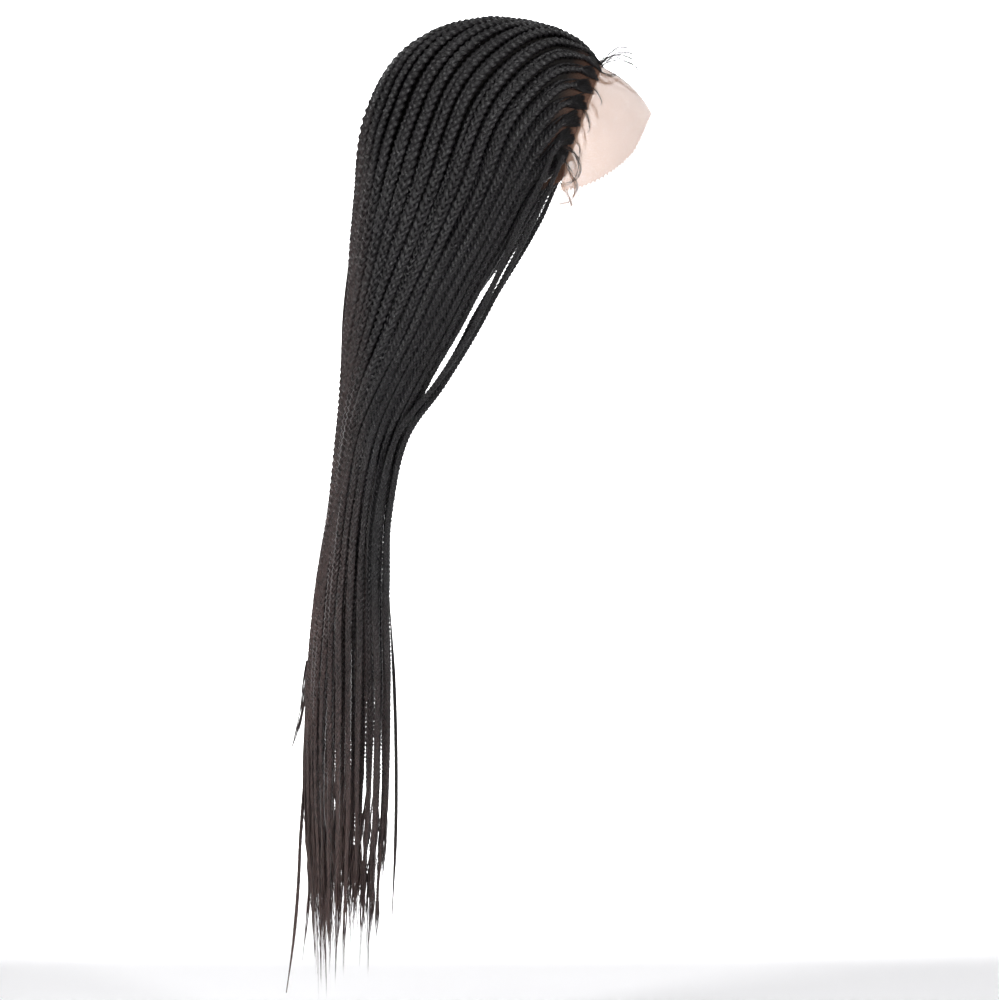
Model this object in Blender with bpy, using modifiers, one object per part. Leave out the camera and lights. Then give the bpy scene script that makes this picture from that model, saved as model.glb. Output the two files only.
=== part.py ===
"""Braid wig on a cap, as it sits on a head: crown at the origin, face towards -Y, +Z up."""

import math
from collections import namedtuple

import bmesh
import bpy
import numpy as np
from mathutils import Vector

MM = 0.001
GAP = 0.3 * MM
SIDES = ("right", "left")
MIRROR = np.array([-1, 1, 1])

# Hollow of the cap: half an egg around a centre below the crown
HEAD_HALF_WIDTH = 75 * MM
HEAD_FRONT = 107 * MM
HEAD_BACK = 101 * MM
HEAD_UP = 95 * MM
HEAD_DOWN = 120 * MM
SIDE_POWER = 2.2
FRONT_POWER = 2.0
BACK_POWER = 2.1

# Search along a ray for the surface of the head
RAY_LENGTH = 300 * MM
HALVINGS = 30

# Cap
CAP_WALL = 1.2 * MM
CAP_COLUMNS = 48
CAP_RINGS = 7
RIM_SAMPLES = 13
EQUATOR_MARGIN = 0.01
CapRim = namedtuple("CapRim", "bearing_deg z")
CAP_RIM_BEHIND_TEMPLE = (
    CapRim(72, -131),
    CapRim(92, -127),
    CapRim(112, -138),
    CapRim(132, -158),
    CapRim(156, -168),
    CapRim(180, -168),
)

# Braids of one side, from the temple to the middle line
CURTAIN_BRAIDS = 18
NARROWEST_WEIGHT = 0.62
NARROW_BRAIDS = 6
GAP_WEIGHTS = {7: 0.25, 9: 0.15, 11: 0.35}
HAIRLINE_RADIUS = 2.3 * MM
HEAD_RADIUS = 4.15 * MM
CURTAIN_RADIUS = 3.5 * MM
TIP_RADIUS = 0.9 * MM
ROOT_LENGTH = 85 * MM
TAIL_LENGTH = 190 * MM
SLIMMING_FROM = 350 * MM
SLIMMING_TO = 560 * MM
ROOM_STEPS = 40
HALF_FACET = math.radians(30)

# Arcs over the head, each in a plane hinged on a line through both temples. Braids cross
# an arc up to the share `reach` of the curtain, and draw together towards the middle line
# as `bend` grows. The other braids start further back, beside the middle line
HeadSection = namedtuple("HeadSection", "tilt_deg pivot_y pivot_z lift reach bend")
HEAD_SECTIONS = (
    HeadSection(109.5, -54, -117, 4.4, 0.42, 1.25),
    HeadSection(88, -53, -121, 6.2, 0.60, 1.3),
    HeadSection(66, -50, -126, 5.9, 0.88, 1.3),
    HeadSection(44, -46, -131, 6.0, 1.0, 1.12),
    HeadSection(22, -42, -135, 8.5, 1.0, 1.0),
)
ROOT_SHARE = 0.975
ROOT_BLENDS = 40
LEAST_STRETCH_DEG = 5
ROOT_STRETCH_STEPS = 3
HEAD_STRETCH_STEPS = 2
CHORD_DIP = 0.7 * MM

# Level cuts through the hanging braids, from behind the ears down
CurtainSection = namedtuple(
    "CurtainSection", "z y_front x_front y_wide half_width y_back"
)
CURTAIN_SECTIONS = (
    CurtainSection(-140, -36, 75, 25, 88, 115),
    CurtainSection(-180, -14, 79, 36, 89, 119),
    CurtainSection(-220, 10, 83, 47, 91, 122),
    CurtainSection(-260, 31, 89, 60, 95, 126),
    CurtainSection(-300, 54, 99, 76, 103, 128),
    CurtainSection(-340, 72, 110, 90, 113, 131),
    CurtainSection(-390, 82, 119, 98, 122, 136),
    CurtainSection(-470, 86, 125, 104, 128, 149),
    CurtainSection(-550, 85, 125, 106, 128, 157),
    CurtainSection(-630, 87, 122, 107, 125, 158),
    CurtainSection(-710, 92, 116, 108, 119, 154),
    CurtainSection(-800, 97, 110, 109, 113, 150),
)
CORNER_POWER = 2.5
ARC_STEPS = 64

# Heights of level cuts where a braid runs straight enough to need no point
STRAIGHT_HEIGHTS = (-180, -260, -470, -630)

# The left side hangs further back than the right between these heights, most in front
LEFT_DRAWBACK = 9.5 * MM
DRAWBACK_FROM = 150 * MM
DRAWBACK_TO = 240 * MM

# Height of the braid tips at shares of the way from the temple to the middle line
TIP_SHARES = (0.0, 0.25, 0.5, 0.75, 1.0)
TIP_HEIGHTS = (-738 * MM, -775 * MM, -800 * MM, -765 * MM, -710 * MM)
TIP_SPREAD = 14 * MM
TIP_TURN = 2.4
LEAST_LAST_STEP = 12 * MM

# Two loose braids that frame the face on each side, from the temple down
LoosePoint = namedtuple("LoosePoint", "x y z")
LOOSE_ROUTES = (
    (
        LoosePoint(78, -53, -116),
        LoosePoint(79.3, -42, -140),
        LoosePoint(84, -23, -180),
        LoosePoint(87, -3, -220),
        LoosePoint(92, 18, -260),
        LoosePoint(103, 43, -300),
        LoosePoint(118, 71, -340),
        LoosePoint(127, 84, -390),
        LoosePoint(133, 88, -470),
        LoosePoint(133, 86, -550),
        LoosePoint(130, 88, -630),
        LoosePoint(124, 93, -715),
    ),
    (
        LoosePoint(80, -45, -112),
        LoosePoint(85, -34, -140),
        LoosePoint(87, -14, -180),
        LoosePoint(91, 3.5, -220),
        LoosePoint(98, 23, -260),
        LoosePoint(108.3, 48.5, -300),
        LoosePoint(119.3, 78.3, -340),
        LoosePoint(130, 92, -390),
        LoosePoint(136, 97, -470),
        LoosePoint(136, 95, -550),
        LoosePoint(133, 97, -630),
        LoosePoint(127, 101, -735),
    ),
)
LOOSE_RADIUS = 2.8 * MM

# Inner braids that hang from a weft sewn round the back and sides of the cap
WEFT_HEIGHT = -134 * MM
WEFT_RADIUS = 1.7 * MM
WEFT_POINTS = 9
WEFT_OVERLAP = 0.4 * MM
UNDER_DEPTH = 10.5 * MM
UNDER_CLOSENESS = 0.94
UNDER_RADIUS = 2.8 * MM
UNDER_TOP_RADIUS = 1.5 * MM
UNDER_FULL_FROM = 180 * MM
UNDER_TAIL_FROM = 600 * MM
UNDER_TAIL_TO = 745 * MM
UNDER_TIP_TURN = 1.9
UnderGroup = namedtuple("UnderGroup", "name first last braids tip")
UNDER_GROUPS = (
    UnderGroup("under_braids_side", 0.10, 0.47, 7, -745),
    UnderGroup("under_braids_back", 0.53, 0.97, 8, -725),
)

# Lace that runs on past the hairline, uncut
LACE_THICKNESS = 1.0 * MM
LACE_RINGS = 6
LACE_COLUMNS = 16
LACE_EDGE_STEPS = 8
LACE_BULGE = 5 * MM
LACE_SEAM = 1.3 * MM
PINK_DEPTH = 1.6 * MM
LaceEdge = namedtuple("LaceEdge", "turn x y z")
LACE_EDGE = (
    LaceEdge(0.0, 77, -46, -146),
    LaceEdge(0.2, 75, -68, -142),
    LaceEdge(0.4, 66, -93, -128),
    LaceEdge(0.6, 53, -109, -113),
    LaceEdge(0.8, 32, -122, -88),
    LaceEdge(1.0, 0, -128, -73),
)


def clear_scene():
    for found in list(bpy.data.objects):
        bpy.data.objects.remove(found, do_unlink=True)


def new_collection(name):
    made = bpy.data.collections.new(name)
    bpy.context.scene.collection.children.link(made)
    return made


def new_material(name, color, roughness):
    made = bpy.data.materials.new(name)
    made.use_nodes = True
    shader = made.node_tree.nodes["Principled BSDF"]
    shader.inputs["Base Color"].default_value = (*color, 1)
    shader.inputs["Roughness"].default_value = roughness
    shader.inputs["Metallic"].default_value = 0
    return made


# The form of the head and of the curtain


def headness(points, lift):
    """Under 1 inside the head grown by lift, and 1 on its surface."""
    x = np.abs(points[:, 0]) / (HEAD_HALF_WIDTH + lift)
    ahead = np.maximum(-points[:, 1], 0) / (HEAD_FRONT + lift)
    behind = np.maximum(points[:, 1], 0) / (HEAD_BACK + lift)
    up = points[:, 2] + HEAD_UP
    above = np.maximum(up, 0) / (HEAD_UP + lift)
    below = np.maximum(-up, 0) / (HEAD_DOWN + lift)
    return (
        x**SIDE_POWER
        + ahead**FRONT_POWER
        + behind**BACK_POWER
        + above**SIDE_POWER
        + below**SIDE_POWER
    )


def on_head(start, directions, lift):
    """Where rays from a point inside the head leave the head grown by lift."""
    near = np.zeros(len(directions))
    far = np.full(len(directions), RAY_LENGTH)
    for _ in range(HALVINGS):
        middle = (near + far) / 2
        inside = headness(start + middle[:, None] * directions, lift) < 1
        near = np.where(inside, middle, near)
        far = np.where(inside, far, middle)
    return start + near[:, None] * directions


def head_arc(section, turns, lift):
    """Points on a head section, from the right temple at turn 0 to the middle line at 1."""
    tilt = math.radians(section.tilt_deg)
    angle = turns * math.pi / 2
    directions = np.stack(
        [-np.cos(angle), np.sin(angle) * math.cos(tilt), np.sin(angle) * math.sin(tilt)],
        axis=1,
    )
    pivot = np.array([0, section.pivot_y, section.pivot_z]) * MM
    return on_head(pivot, directions, section.lift * MM + lift)


def curtain_arc(section, turns, lift):
    """Points on a level cut, from the front edge at turn 0 to the middle line at 1."""
    side = np.clip(turns * 2, 0, 1)
    back = np.clip(turns * 2 - 1, 0, 1) * math.pi / 2
    x_front = section.x_front * MM + lift
    half_width = section.half_width * MM + lift
    x = x_front + (half_width - x_front) * np.sin(side * math.pi / 2)
    x = x * np.cos(back).clip(0) ** (2 / CORNER_POWER)
    y = section.y_front + (section.y_wide - section.y_front) * side
    depth = section.y_back * MM + lift - section.y_wide * MM
    y = y * MM + depth * np.sin(back) ** (2 / CORNER_POWER)
    return np.stack([-x, y, np.full(len(turns), section.z * MM)], axis=1)


def arc_points(arc, section, shares, lift=0.0):
    """Points at these shares of an arc's length."""
    turns = np.linspace(0, 1, ARC_STEPS + 1)
    points = arc(section, turns, 0.0)
    steps = np.linalg.norm(np.diff(points, axis=0), axis=1)
    along = np.concatenate([[0], np.cumsum(steps)])
    at = np.interp(np.asarray(shares) * along[-1], along, turns)
    return arc(section, at, lift)


def crossing(section, share):
    """Where a braid crosses a head section, as a share of the arc up to the middle line."""
    return 1 - max(0.0, 1 - share / section.reach) ** section.bend


def root_section(share):
    """The section that a braid starts from, and the head sections that lie beyond it."""
    if crossing(HEAD_SECTIONS[0], share) <= ROOT_SHARE:
        return HEAD_SECTIONS[0], HEAD_SECTIONS[1:]
    pairs = enumerate(zip(HEAD_SECTIONS, HEAD_SECTIONS[1:]), 1)
    number, (ahead, behind) = next(
        pair for pair in pairs if crossing(pair[1][1], share) <= ROOT_SHARE
    )
    for blend in np.linspace(0, 1, ROOT_BLENDS + 1):
        root = HeadSection(*((1 - blend) * a + blend * b for a, b in zip(ahead, behind)))
        if crossing(root, share) <= ROOT_SHARE:
            break
    beyond = [s for s in HEAD_SECTIONS[number:] if s.tilt_deg < root.tilt_deg - LEAST_STRETCH_DEG]
    return root._replace(lift=HEAD_SECTIONS[0].lift), beyond


def smooth_route(points, steps):
    """A smooth curve through the points, with a number of steps for each stretch."""
    points = np.asarray(points)
    chords = np.linalg.norm(np.diff(points, axis=0), axis=1)
    slopes = np.diff(points, axis=0) / chords[:, None]
    weights = chords[:-1] / (chords[:-1] + chords[1:])
    inner = slopes[:-1] * (1 - weights[:, None]) + slopes[1:] * weights[:, None]
    tangents = np.vstack([slopes[:1], inner, slopes[-1:]])
    route = [points[0]]
    for i, chord in enumerate(chords):
        for t in np.arange(1, steps[i] + 1) / steps[i]:
            route.append(
                (2 * t**3 - 3 * t**2 + 1) * points[i]
                + (t**3 - 2 * t**2 + t) * chord * tangents[i]
                + (3 * t**2 - 2 * t**3) * points[i + 1]
                + (t**3 - t**2) * chord * tangents[i + 1]
            )
    return np.array(route)


# Braids


def braid_shares():
    """Where the middle of each braid lies along an arc from the temple to the middle."""
    braids = np.arange(CURTAIN_BRAIDS)
    widths = NARROWEST_WEIGHT + (1 - NARROWEST_WEIGHT) * np.minimum(braids / NARROW_BRAIDS, 1)
    gaps = np.array([GAP_WEIGHTS.get(i, 0) for i in braids])
    edges = np.concatenate([[0], np.cumsum(widths + gaps)])
    return (edges[:-1] + widths / 2) / edges[-1]


def tip_height(share, number):
    spread = TIP_SPREAD * math.sin(number * TIP_TURN)
    return float(np.interp(share, TIP_SHARES, TIP_HEIGHTS)) + spread


def cut_at(route, height):
    """The route down to a height, with its last point on that height."""
    kept = [point for point in route if point[2] > height + LEAST_LAST_STEP]
    above = kept[-1]
    below = route[len(kept)]
    share = (above[2] - height) / (above[2] - below[2])
    return np.array(kept + [above + (below - above) * share])


def tapered(route, head_radius, curtain_radius):
    """Radii along a braid: thin at the hairline, full behind it, thin again to the tip."""
    steps = np.linalg.norm(np.diff(route, axis=0), axis=1)
    along = np.concatenate([[0], np.cumsum(steps)])
    length = along[-1]
    slimming = [SLIMMING_FROM, SLIMMING_TO]
    full = np.interp(-route[:, 2], slimming, [head_radius, curtain_radius])
    root = np.interp(along, [0, ROOT_LENGTH], [HAIRLINE_RADIUS, head_radius])
    tail = np.interp(length - along, [0, TAIL_LENGTH], [TIP_RADIUS, curtain_radius])
    return np.minimum(np.minimum(full, root), tail)


def raised(route, radii):
    """The route with each point that is too deep for its radius raised off the cap."""
    lifts = CAP_WALL + GAP + CHORD_DIP + radii
    centre = np.array([0, 0, -HEAD_UP])
    out = route - centre
    out /= np.linalg.norm(out, axis=1)[:, None]
    deep = headness(route, lifts) < 1
    return np.where(deep[:, None], on_head(centre, out, lifts), route)


def densely(route):
    """Points every small step along a route's straight stretches."""
    spots = np.linspace(0, len(route) - 1, (len(route) - 1) * ROOM_STEPS + 1)
    whole = np.arange(len(route))
    return np.stack([np.interp(spots, whole, route[:, axis]) for axis in range(3)], axis=1)


def room_beside(route, neighbours):
    """Half the way to the nearest neighbour, at each point and on both stretches by it."""
    crowd = np.vstack([densely(neighbour) for neighbour in neighbours])
    offsets = densely(route)[:, None] - crowd[None]
    room = np.linalg.norm(offsets, axis=2).min(axis=1) / 2 - GAP / 2
    starts = [max(0, (i - 1) * ROOM_STEPS) for i in range(len(route))]
    return np.array([room[at : at + 2 * ROOM_STEPS + 1].min() for at in starts])


def tube(name, route, radii, material, collection, sides=1):
    """A tube along a route, as a curve object with filled caps."""
    curve = bpy.data.curves.new(name, "CURVE")
    curve.dimensions = "3D"
    curve.bevel_depth = 1.0
    curve.bevel_resolution = sides
    curve.use_fill_caps = True
    curve.resolution_u = 1
    curve.render_resolution_u = 0
    spline = curve.splines.new("POLY")
    spline.points.add(len(route) - 1)
    for point, place, radius in zip(spline.points, route, radii):
        point.co = (*place, 1)
        point.radius = radius
        point.tilt = HALF_FACET
    curve.materials.append(material)
    made = bpy.data.objects.new(name, curve)
    collection.objects.link(made)
    return made


def on_side(route, share, side):
    """A route of the right side, or its match on the left, which hangs further back."""
    if side == "right":
        return route
    moved = route * MIRROR
    lower = np.interp(-route[:, 2], [DRAWBACK_FROM, DRAWBACK_TO], [0, 1])
    moved[:, 1] += LEFT_DRAWBACK * (1 - share) * lower
    return moved


def curtain_braid_route(share):
    """The route of the curtain braid at one share, on the right side and down to the end."""
    root, beyond = root_section(share)
    places = []
    for section in (root, *beyond):
        places += list(arc_points(head_arc, section, [crossing(section, share)]))
    level_cuts = [s for s in CURTAIN_SECTIONS if s.z not in STRAIGHT_HEIGHTS]
    for section in level_cuts:
        places += list(arc_points(curtain_arc, section, [share]))
    steps = [ROOT_STRETCH_STEPS]
    steps += [HEAD_STRETCH_STEPS] * (len(beyond) - 1)
    steps += [1] * len(level_cuts)
    route = smooth_route(places, steps)
    return raised(route, tapered(route, HEAD_RADIUS, CURTAIN_RADIUS))


def make_curtain_braids(material, collection):
    shares = braid_shares()
    for side in SIDES:
        routes = []
        for number, share in enumerate(shares):
            route = cut_at(curtain_braid_route(share), tip_height(share, number))
            routes.append(on_side(route, share, side))
        for number, route in enumerate(routes):
            neighbours = routes[max(0, number - 1) : number] + routes[number + 1 : number + 2]
            neighbours.append(route * MIRROR)
            radii = np.minimum(
                tapered(route, HEAD_RADIUS, CURTAIN_RADIUS), room_beside(route, neighbours)
            )
            tube(f"braid_{side}_{number + 1:02d}", route, radii, material, collection)


def make_loose_braids(material, collection):
    for number, points in enumerate(LOOSE_ROUTES):
        route = np.array([(-p.x, p.y, p.z) for p in points]) * MM
        radii = tapered(route, LOOSE_RADIUS, LOOSE_RADIUS)
        for side in SIDES:
            name = f"loose_braid_{side}_{number + 1}"
            tube(name, on_side(route, 0, side), radii, material, collection)


# Inner braids


def solid_mesh(made):
    """A welded mesh of a tube, in place of its curve."""
    evaluated = made.evaluated_get(bpy.context.evaluated_depsgraph_get())
    mesh = bpy.data.meshes.new_from_object(evaluated)
    shape = bmesh.new()
    shape.from_mesh(mesh)
    bmesh.ops.remove_doubles(shape, verts=shape.verts, dist=0.01 * MM)
    shape.to_mesh(mesh)
    shape.free()
    place = made.matrix_world.copy()
    name = made.name
    bpy.data.objects.remove(made, do_unlink=True)
    solid = bpy.data.objects.new(name, mesh)
    solid.matrix_world = place
    return solid


def weft_route(first, last):
    """A level run round the cap between two shares of the curtain's width."""
    shares = np.linspace(first, last, WEFT_POINTS)
    outline = arc_points(curtain_arc, CURTAIN_SECTIONS[0], shares)
    centre = np.array([0, 0, WEFT_HEIGHT])
    directions = outline - centre
    directions[:, 2] = 0
    directions /= np.linalg.norm(directions, axis=1)[:, None]
    return on_head(centre, directions, CAP_WALL + GAP + WEFT_RADIUS)


def make_under_braids(material, collection, cutters):
    for group in UNDER_GROUPS:
        weft = weft_route(group.first, group.last)
        shares = np.linspace(group.first, group.last, group.braids)
        spots = np.linspace(0, len(weft) - 1, group.braids)
        tops = np.array([
            [np.interp(at, np.arange(len(weft)), weft[:, axis]) for axis in range(3)]
            for at in spots
        ])
        inset = (shares - 0.5) * UNDER_CLOSENESS + 0.5
        rows = [
            arc_points(curtain_arc, section, inset, -UNDER_DEPTH)
            for section in CURTAIN_SECTIONS[1::2]
        ]
        for side in SIDES:
            backing = tube(
                f"{group.name}_{side}", on_side(weft, 0, side), [WEFT_RADIUS] * len(weft),
                material, collection, 0,
            )
            solid = solid_mesh(backing)
            collection.objects.link(solid)
            for number in range(group.braids):
                route = [tops[number] - np.array([0, 0, WEFT_OVERLAP])]
                route += [row[number] for row in rows]
                tip = group.tip * MM + TIP_SPREAD * math.sin(number * UNDER_TIP_TURN)
                route = on_side(cut_at(np.array(route), tip), shares[number], side)
                radii = np.interp(
                    -route[:, 2],
                    [-WEFT_HEIGHT, UNDER_FULL_FROM, UNDER_TAIL_FROM, UNDER_TAIL_TO],
                    [UNDER_TOP_RADIUS, UNDER_RADIUS, UNDER_RADIUS, TIP_RADIUS],
                )
                braid = tube(f"{solid.name}_{number}", route, radii, material, cutters, 0)
                braid = solid_mesh(braid)
                cutters.objects.link(braid)
                braid.hide_render = True
                braid.display_type = "WIRE"
                joined = solid.modifiers.new(braid.name, "BOOLEAN")
                joined.operation = "UNION"
                joined.object = braid


# Cap


def rim_directions(bearings):
    """Directions from the head's centre to the cap's rim at bearings from the face."""
    centre = np.array([0, 0, -HEAD_UP])
    turns = np.linspace(1, 0, RIM_SAMPLES)
    hairline = head_arc(HEAD_SECTIONS[0], turns, -HEAD_SECTIONS[0].lift * MM)
    ahead = np.degrees(np.arctan2(-hairline[:, 0], -hairline[:, 1]))
    slopes = np.arctan2(np.hypot(hairline[:, 0], hairline[:, 1]), hairline[:, 2] + HEAD_UP)
    known = list(ahead)
    heights = list(slopes)
    for rim in CAP_RIM_BEHIND_TEMPLE:
        bearing = math.radians(rim.bearing_deg)
        level = np.array([0, 0, rim.z * MM])
        out = np.array([[-math.sin(bearing), -math.cos(bearing), 0]])
        place = on_head(level, out, 0.0)[0]
        known.append(rim.bearing_deg)
        heights.append(math.atan2(math.hypot(place[0], place[1]), place[2] + HEAD_UP))
    slope = np.interp(np.abs(bearings), known, heights)
    return centre, slope


def make_cap(material, collection):
    """The hollow cap: the upper half of a sphere, drawn out to the head and the rim."""
    shape = bmesh.new()
    bmesh.ops.create_uvsphere(
        shape, u_segments=CAP_COLUMNS, v_segments=2 * CAP_RINGS, radius=1
    )
    lower = [vertex for vertex in shape.verts if vertex.co.z < -EQUATOR_MARGIN]
    bmesh.ops.delete(shape, geom=lower, context="VERTS")
    shape.verts.ensure_lookup_table()
    spots = np.array([vertex.co for vertex in shape.verts])
    bearings = np.degrees(np.arctan2(spots[:, 0], -spots[:, 1]))
    shares = np.degrees(np.arccos(np.clip(spots[:, 2], -1, 1))) / 90
    centre, slope = rim_directions(bearings)
    polar = shares * slope
    turn = np.radians(bearings)
    directions = np.stack(
        [np.sin(turn) * np.sin(polar), -np.cos(turn) * np.sin(polar), np.cos(polar)],
        axis=1,
    )
    for vertex, place in zip(shape.verts, on_head(centre, directions, 0.0)):
        vertex.co = Vector(place)
    mesh = bpy.data.meshes.new("wig_cap")
    shape.to_mesh(mesh)
    shape.free()
    mesh.shade_smooth()
    mesh.materials.append(material)
    made = bpy.data.objects.new("wig_cap", mesh)
    collection.objects.link(made)
    wall = made.modifiers.new("wall", "SOLIDIFY")
    wall.thickness = CAP_WALL
    wall.offset = 1


# Lace front


def lace_edge(turns):
    """The free edge of the lace, smooth across the middle line."""
    points = [(-edge.x, edge.y, edge.z) for edge in LACE_EDGE]
    across = LACE_EDGE[-2]
    points.append((across.x, across.y, across.z))
    route = smooth_route(np.array(points) * MM, [LACE_EDGE_STEPS] * len(LACE_EDGE))
    known = np.linspace(0, 1, LACE_EDGE_STEPS * (len(LACE_EDGE) - 1) + 1)
    route = route[: len(known)]
    return np.stack([np.interp(turns, known, route[:, axis]) for axis in range(3)], axis=1)


def lace_points(turns, shares):
    """Points of the lace, from just off the hairline to its free edge, on the right side."""
    start = head_arc(HEAD_SECTIONS[0], turns, GAP - HEAD_SECTIONS[0].lift * MM)
    edge = lace_edge(turns)
    across = edge - start
    length = np.linalg.norm(across, axis=1)[:, None]
    out = start - np.array([0, 0, -HEAD_UP])
    out /= np.linalg.norm(out, axis=1)[:, None]
    first = start + across / length * LACE_SEAM
    rows = []
    for share in shares:
        bulge = LACE_BULGE * 4 * share * (1 - share)
        rows.append(first + (edge - first) * share + out * bulge)
    return np.array(rows)


def make_lace(material, collection):
    """The lace front as a loft from the hairline to its pinked edge."""
    turns = np.linspace(0, 1, LACE_COLUMNS + 1)
    shares = np.linspace(0, 1, LACE_RINGS + 1)
    rows = lace_points(turns, shares)
    last = rows[-1]
    inward = rows[-2] - last
    inward /= np.linalg.norm(inward, axis=1)[:, None]
    rows[-1] = last + inward * PINK_DEPTH * (np.arange(len(turns)) % 2)[:, None]
    left = rows[:, -2::-1] * MIRROR
    grid = np.concatenate([rows, left], axis=1)
    shape = bmesh.new()
    made_rows = [[shape.verts.new(Vector(place)) for place in row] for row in grid]
    for upper, lower in zip(made_rows, made_rows[1:]):
        for column in range(len(upper) - 1):
            corners = (upper[column], upper[column + 1], lower[column + 1], lower[column])
            shape.faces.new(corners)
    mesh = bpy.data.meshes.new("lace_front")
    shape.to_mesh(mesh)
    shape.free()
    mesh.shade_smooth()
    mesh.materials.append(material)
    made = bpy.data.objects.new("lace_front", mesh)
    collection.objects.link(made)
    wall = made.modifiers.new("wall", "SOLIDIFY")
    wall.thickness = LACE_THICKNESS
    wall.offset = 0


def main():
    clear_scene()
    wig = new_collection("braid_wig")
    cutters = new_collection("joined_braids")
    hair = new_material("braid_hair", (0.018, 0.014, 0.013), 0.45)
    cap_net = new_material("cap_net", (0.03, 0.024, 0.02), 0.8)
    lace = new_material("lace", (0.62, 0.42, 0.3), 0.7)
    make_cap(cap_net, wig)
    make_lace(lace, wig)
    make_curtain_braids(hair, wig)
    make_loose_braids(hair, wig)
    make_under_braids(hair, wig, cutters)


main()
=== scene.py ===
"""The finished looks of a braid wig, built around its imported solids."""

import math
import random
from collections import namedtuple

import bmesh
import bpy
import numpy as np
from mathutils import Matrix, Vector


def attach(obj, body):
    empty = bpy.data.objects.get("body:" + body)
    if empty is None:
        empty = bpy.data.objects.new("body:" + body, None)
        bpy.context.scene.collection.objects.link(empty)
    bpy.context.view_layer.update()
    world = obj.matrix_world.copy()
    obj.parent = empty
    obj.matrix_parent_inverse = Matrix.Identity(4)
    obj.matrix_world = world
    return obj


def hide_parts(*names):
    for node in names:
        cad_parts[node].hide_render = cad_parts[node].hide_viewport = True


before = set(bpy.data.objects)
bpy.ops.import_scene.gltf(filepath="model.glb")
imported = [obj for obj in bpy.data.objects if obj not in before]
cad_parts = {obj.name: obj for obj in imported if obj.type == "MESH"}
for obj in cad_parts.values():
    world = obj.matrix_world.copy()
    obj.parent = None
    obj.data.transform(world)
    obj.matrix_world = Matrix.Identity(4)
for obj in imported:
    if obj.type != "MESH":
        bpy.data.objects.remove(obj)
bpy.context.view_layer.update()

BODY = "root"

MM = 0.001
TURN = 2 * math.pi
MIRROR = np.array([-1, 1, 1])
SIDES = ("right", "left")
TO_THE_RIGHT = (-1.0, 0.0, 0.0)

# Lengths without a unit in the tables are in millimetres
Point = namedtuple("Point", "x y z")

# Trees: the kinds of their sockets, what each takes and gives, and the trees with their hair
SOCKET_KINDS = {float: "NodeSocketFloat", int: "NodeSocketInt"}
GEOMETRY = {"Geometry": "NodeSocketGeometry"}
Kit = namedtuple("Kit", "plait locks hair")

# Hollow of the cap, as in the solids
HEAD_HALF_WIDTH = 75 * MM
HEAD_FRONT = 107 * MM
HEAD_BACK = 101 * MM
HEAD_UP = 95 * MM
HEAD_DOWN = 120 * MM
HEAD_CENTRE = np.array([0, 0, -HEAD_UP])
SIDE_POWER = 2.2
FRONT_POWER = 2.0
BACK_POWER = 2.1
LEAST_LIFT = 6.0 * MM
ROOT_LEAST_LIFT = 3.4 * MM
ROOT_SINK = 1.3 * MM

# Cap: its wall, its hem as shares of the way from the top to the rim, and its brown front
CAP_INNER = 0.15 * MM
CAP_OUTER = 1.2 * MM
CAP_COLUMNS = 144
CAP_RINGS = 30
CAP_TOP_SHARE = 0.012
HEM_SHARES = (1.004, 1.02)
RIM_OUTER_SHARE = 1.024
RIM_INNER_SHARE = 1.022
RIM_SAMPLES = 25
RIM_ROLL = 1.1 * MM
HEM_FROM_DEG = 60
HEM_FULL_DEG = 80
CapRim = namedtuple("CapRim", "bearing_deg z")
CAP_RIM_BEHIND_TEMPLE = (
    CapRim(72, -131),
    CapRim(92, -127),
    CapRim(112, -138),
    CapRim(132, -158),
    CapRim(156, -168),
    CapRim(180, -168),
)
FRONT_BAND = 34 * MM
CAP_GROUND = (0.006, 0.005, 0.0048, 1)
CAP_THREAD = (0.011, 0.009, 0.008, 1)
FRONT_GROUND = (0.05, 0.023, 0.014, 1)
FRONT_THREAD = (0.12, 0.062, 0.04, 1)

# Lace that runs on past the hairline, uncut. Its free edge is given at even turns
LACE_THICKNESS = 0.35 * MM
LACE_RINGS = 14
LACE_BULGE = 5 * MM
LACE_SEAM = 1.3 * MM
LACE_LIFT = 0.3 * MM
LACE_TAN = (0.46, 0.29, 0.21, 1)
LACE_LIGHT_TAN = (0.56, 0.37, 0.27, 1)
LACE_ALPHA = (0.14, 0.55)
LACE_PINKS = 36
PINK_DEPTH = 2.6 * MM
LACE_EDGE_STEPS = 8
LACE_EDGE = (
    Point(77, -46, -146), Point(75, -68, -142), Point(66, -93, -128),
    Point(53, -109, -113), Point(32, -122, -88), Point(0, -128, -73),
)

# Baby hairs laid on the lace: turn from the temple to the middle, share of the lace's width
CurlPoint = namedtuple("CurlPoint", "turn share")
CURLS = (
    (CurlPoint(0.9, -0.1), CurlPoint(0.93, 0.3), CurlPoint(0.96, 0.7), CurlPoint(0.98, 0.9)),
    (CurlPoint(0.78, -0.1), CurlPoint(0.8, 0.12), CurlPoint(0.84, 0.2), CurlPoint(0.88, 0.12)),
    (CurlPoint(0.6, -0.1), CurlPoint(0.6, 0.1), CurlPoint(0.56, 0.2), CurlPoint(0.5, 0.14)),
    (CurlPoint(0.42, -0.1), CurlPoint(0.4, 0.12), CurlPoint(0.34, 0.22), CurlPoint(0.28, 0.2)),
    (CurlPoint(0.2, -0.1), CurlPoint(0.2, 0.3), CurlPoint(0.12, 0.5), CurlPoint(0.04, 0.35)),
)
CURL_LIFT = 0.5 * MM
CURL_DEPTH = 0.15 * MM
CURL_TAG = 300
CURL_LOCKS = {
    "Locks": 8, "Shortest": 0.6, "Wave": 1.1 * MM, "Wave Length": 26 * MM,
    "Point Spacing": 1.5 * MM, "Sides": 3, "Blunt": 0.2, "Seed": 61,
}
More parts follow.
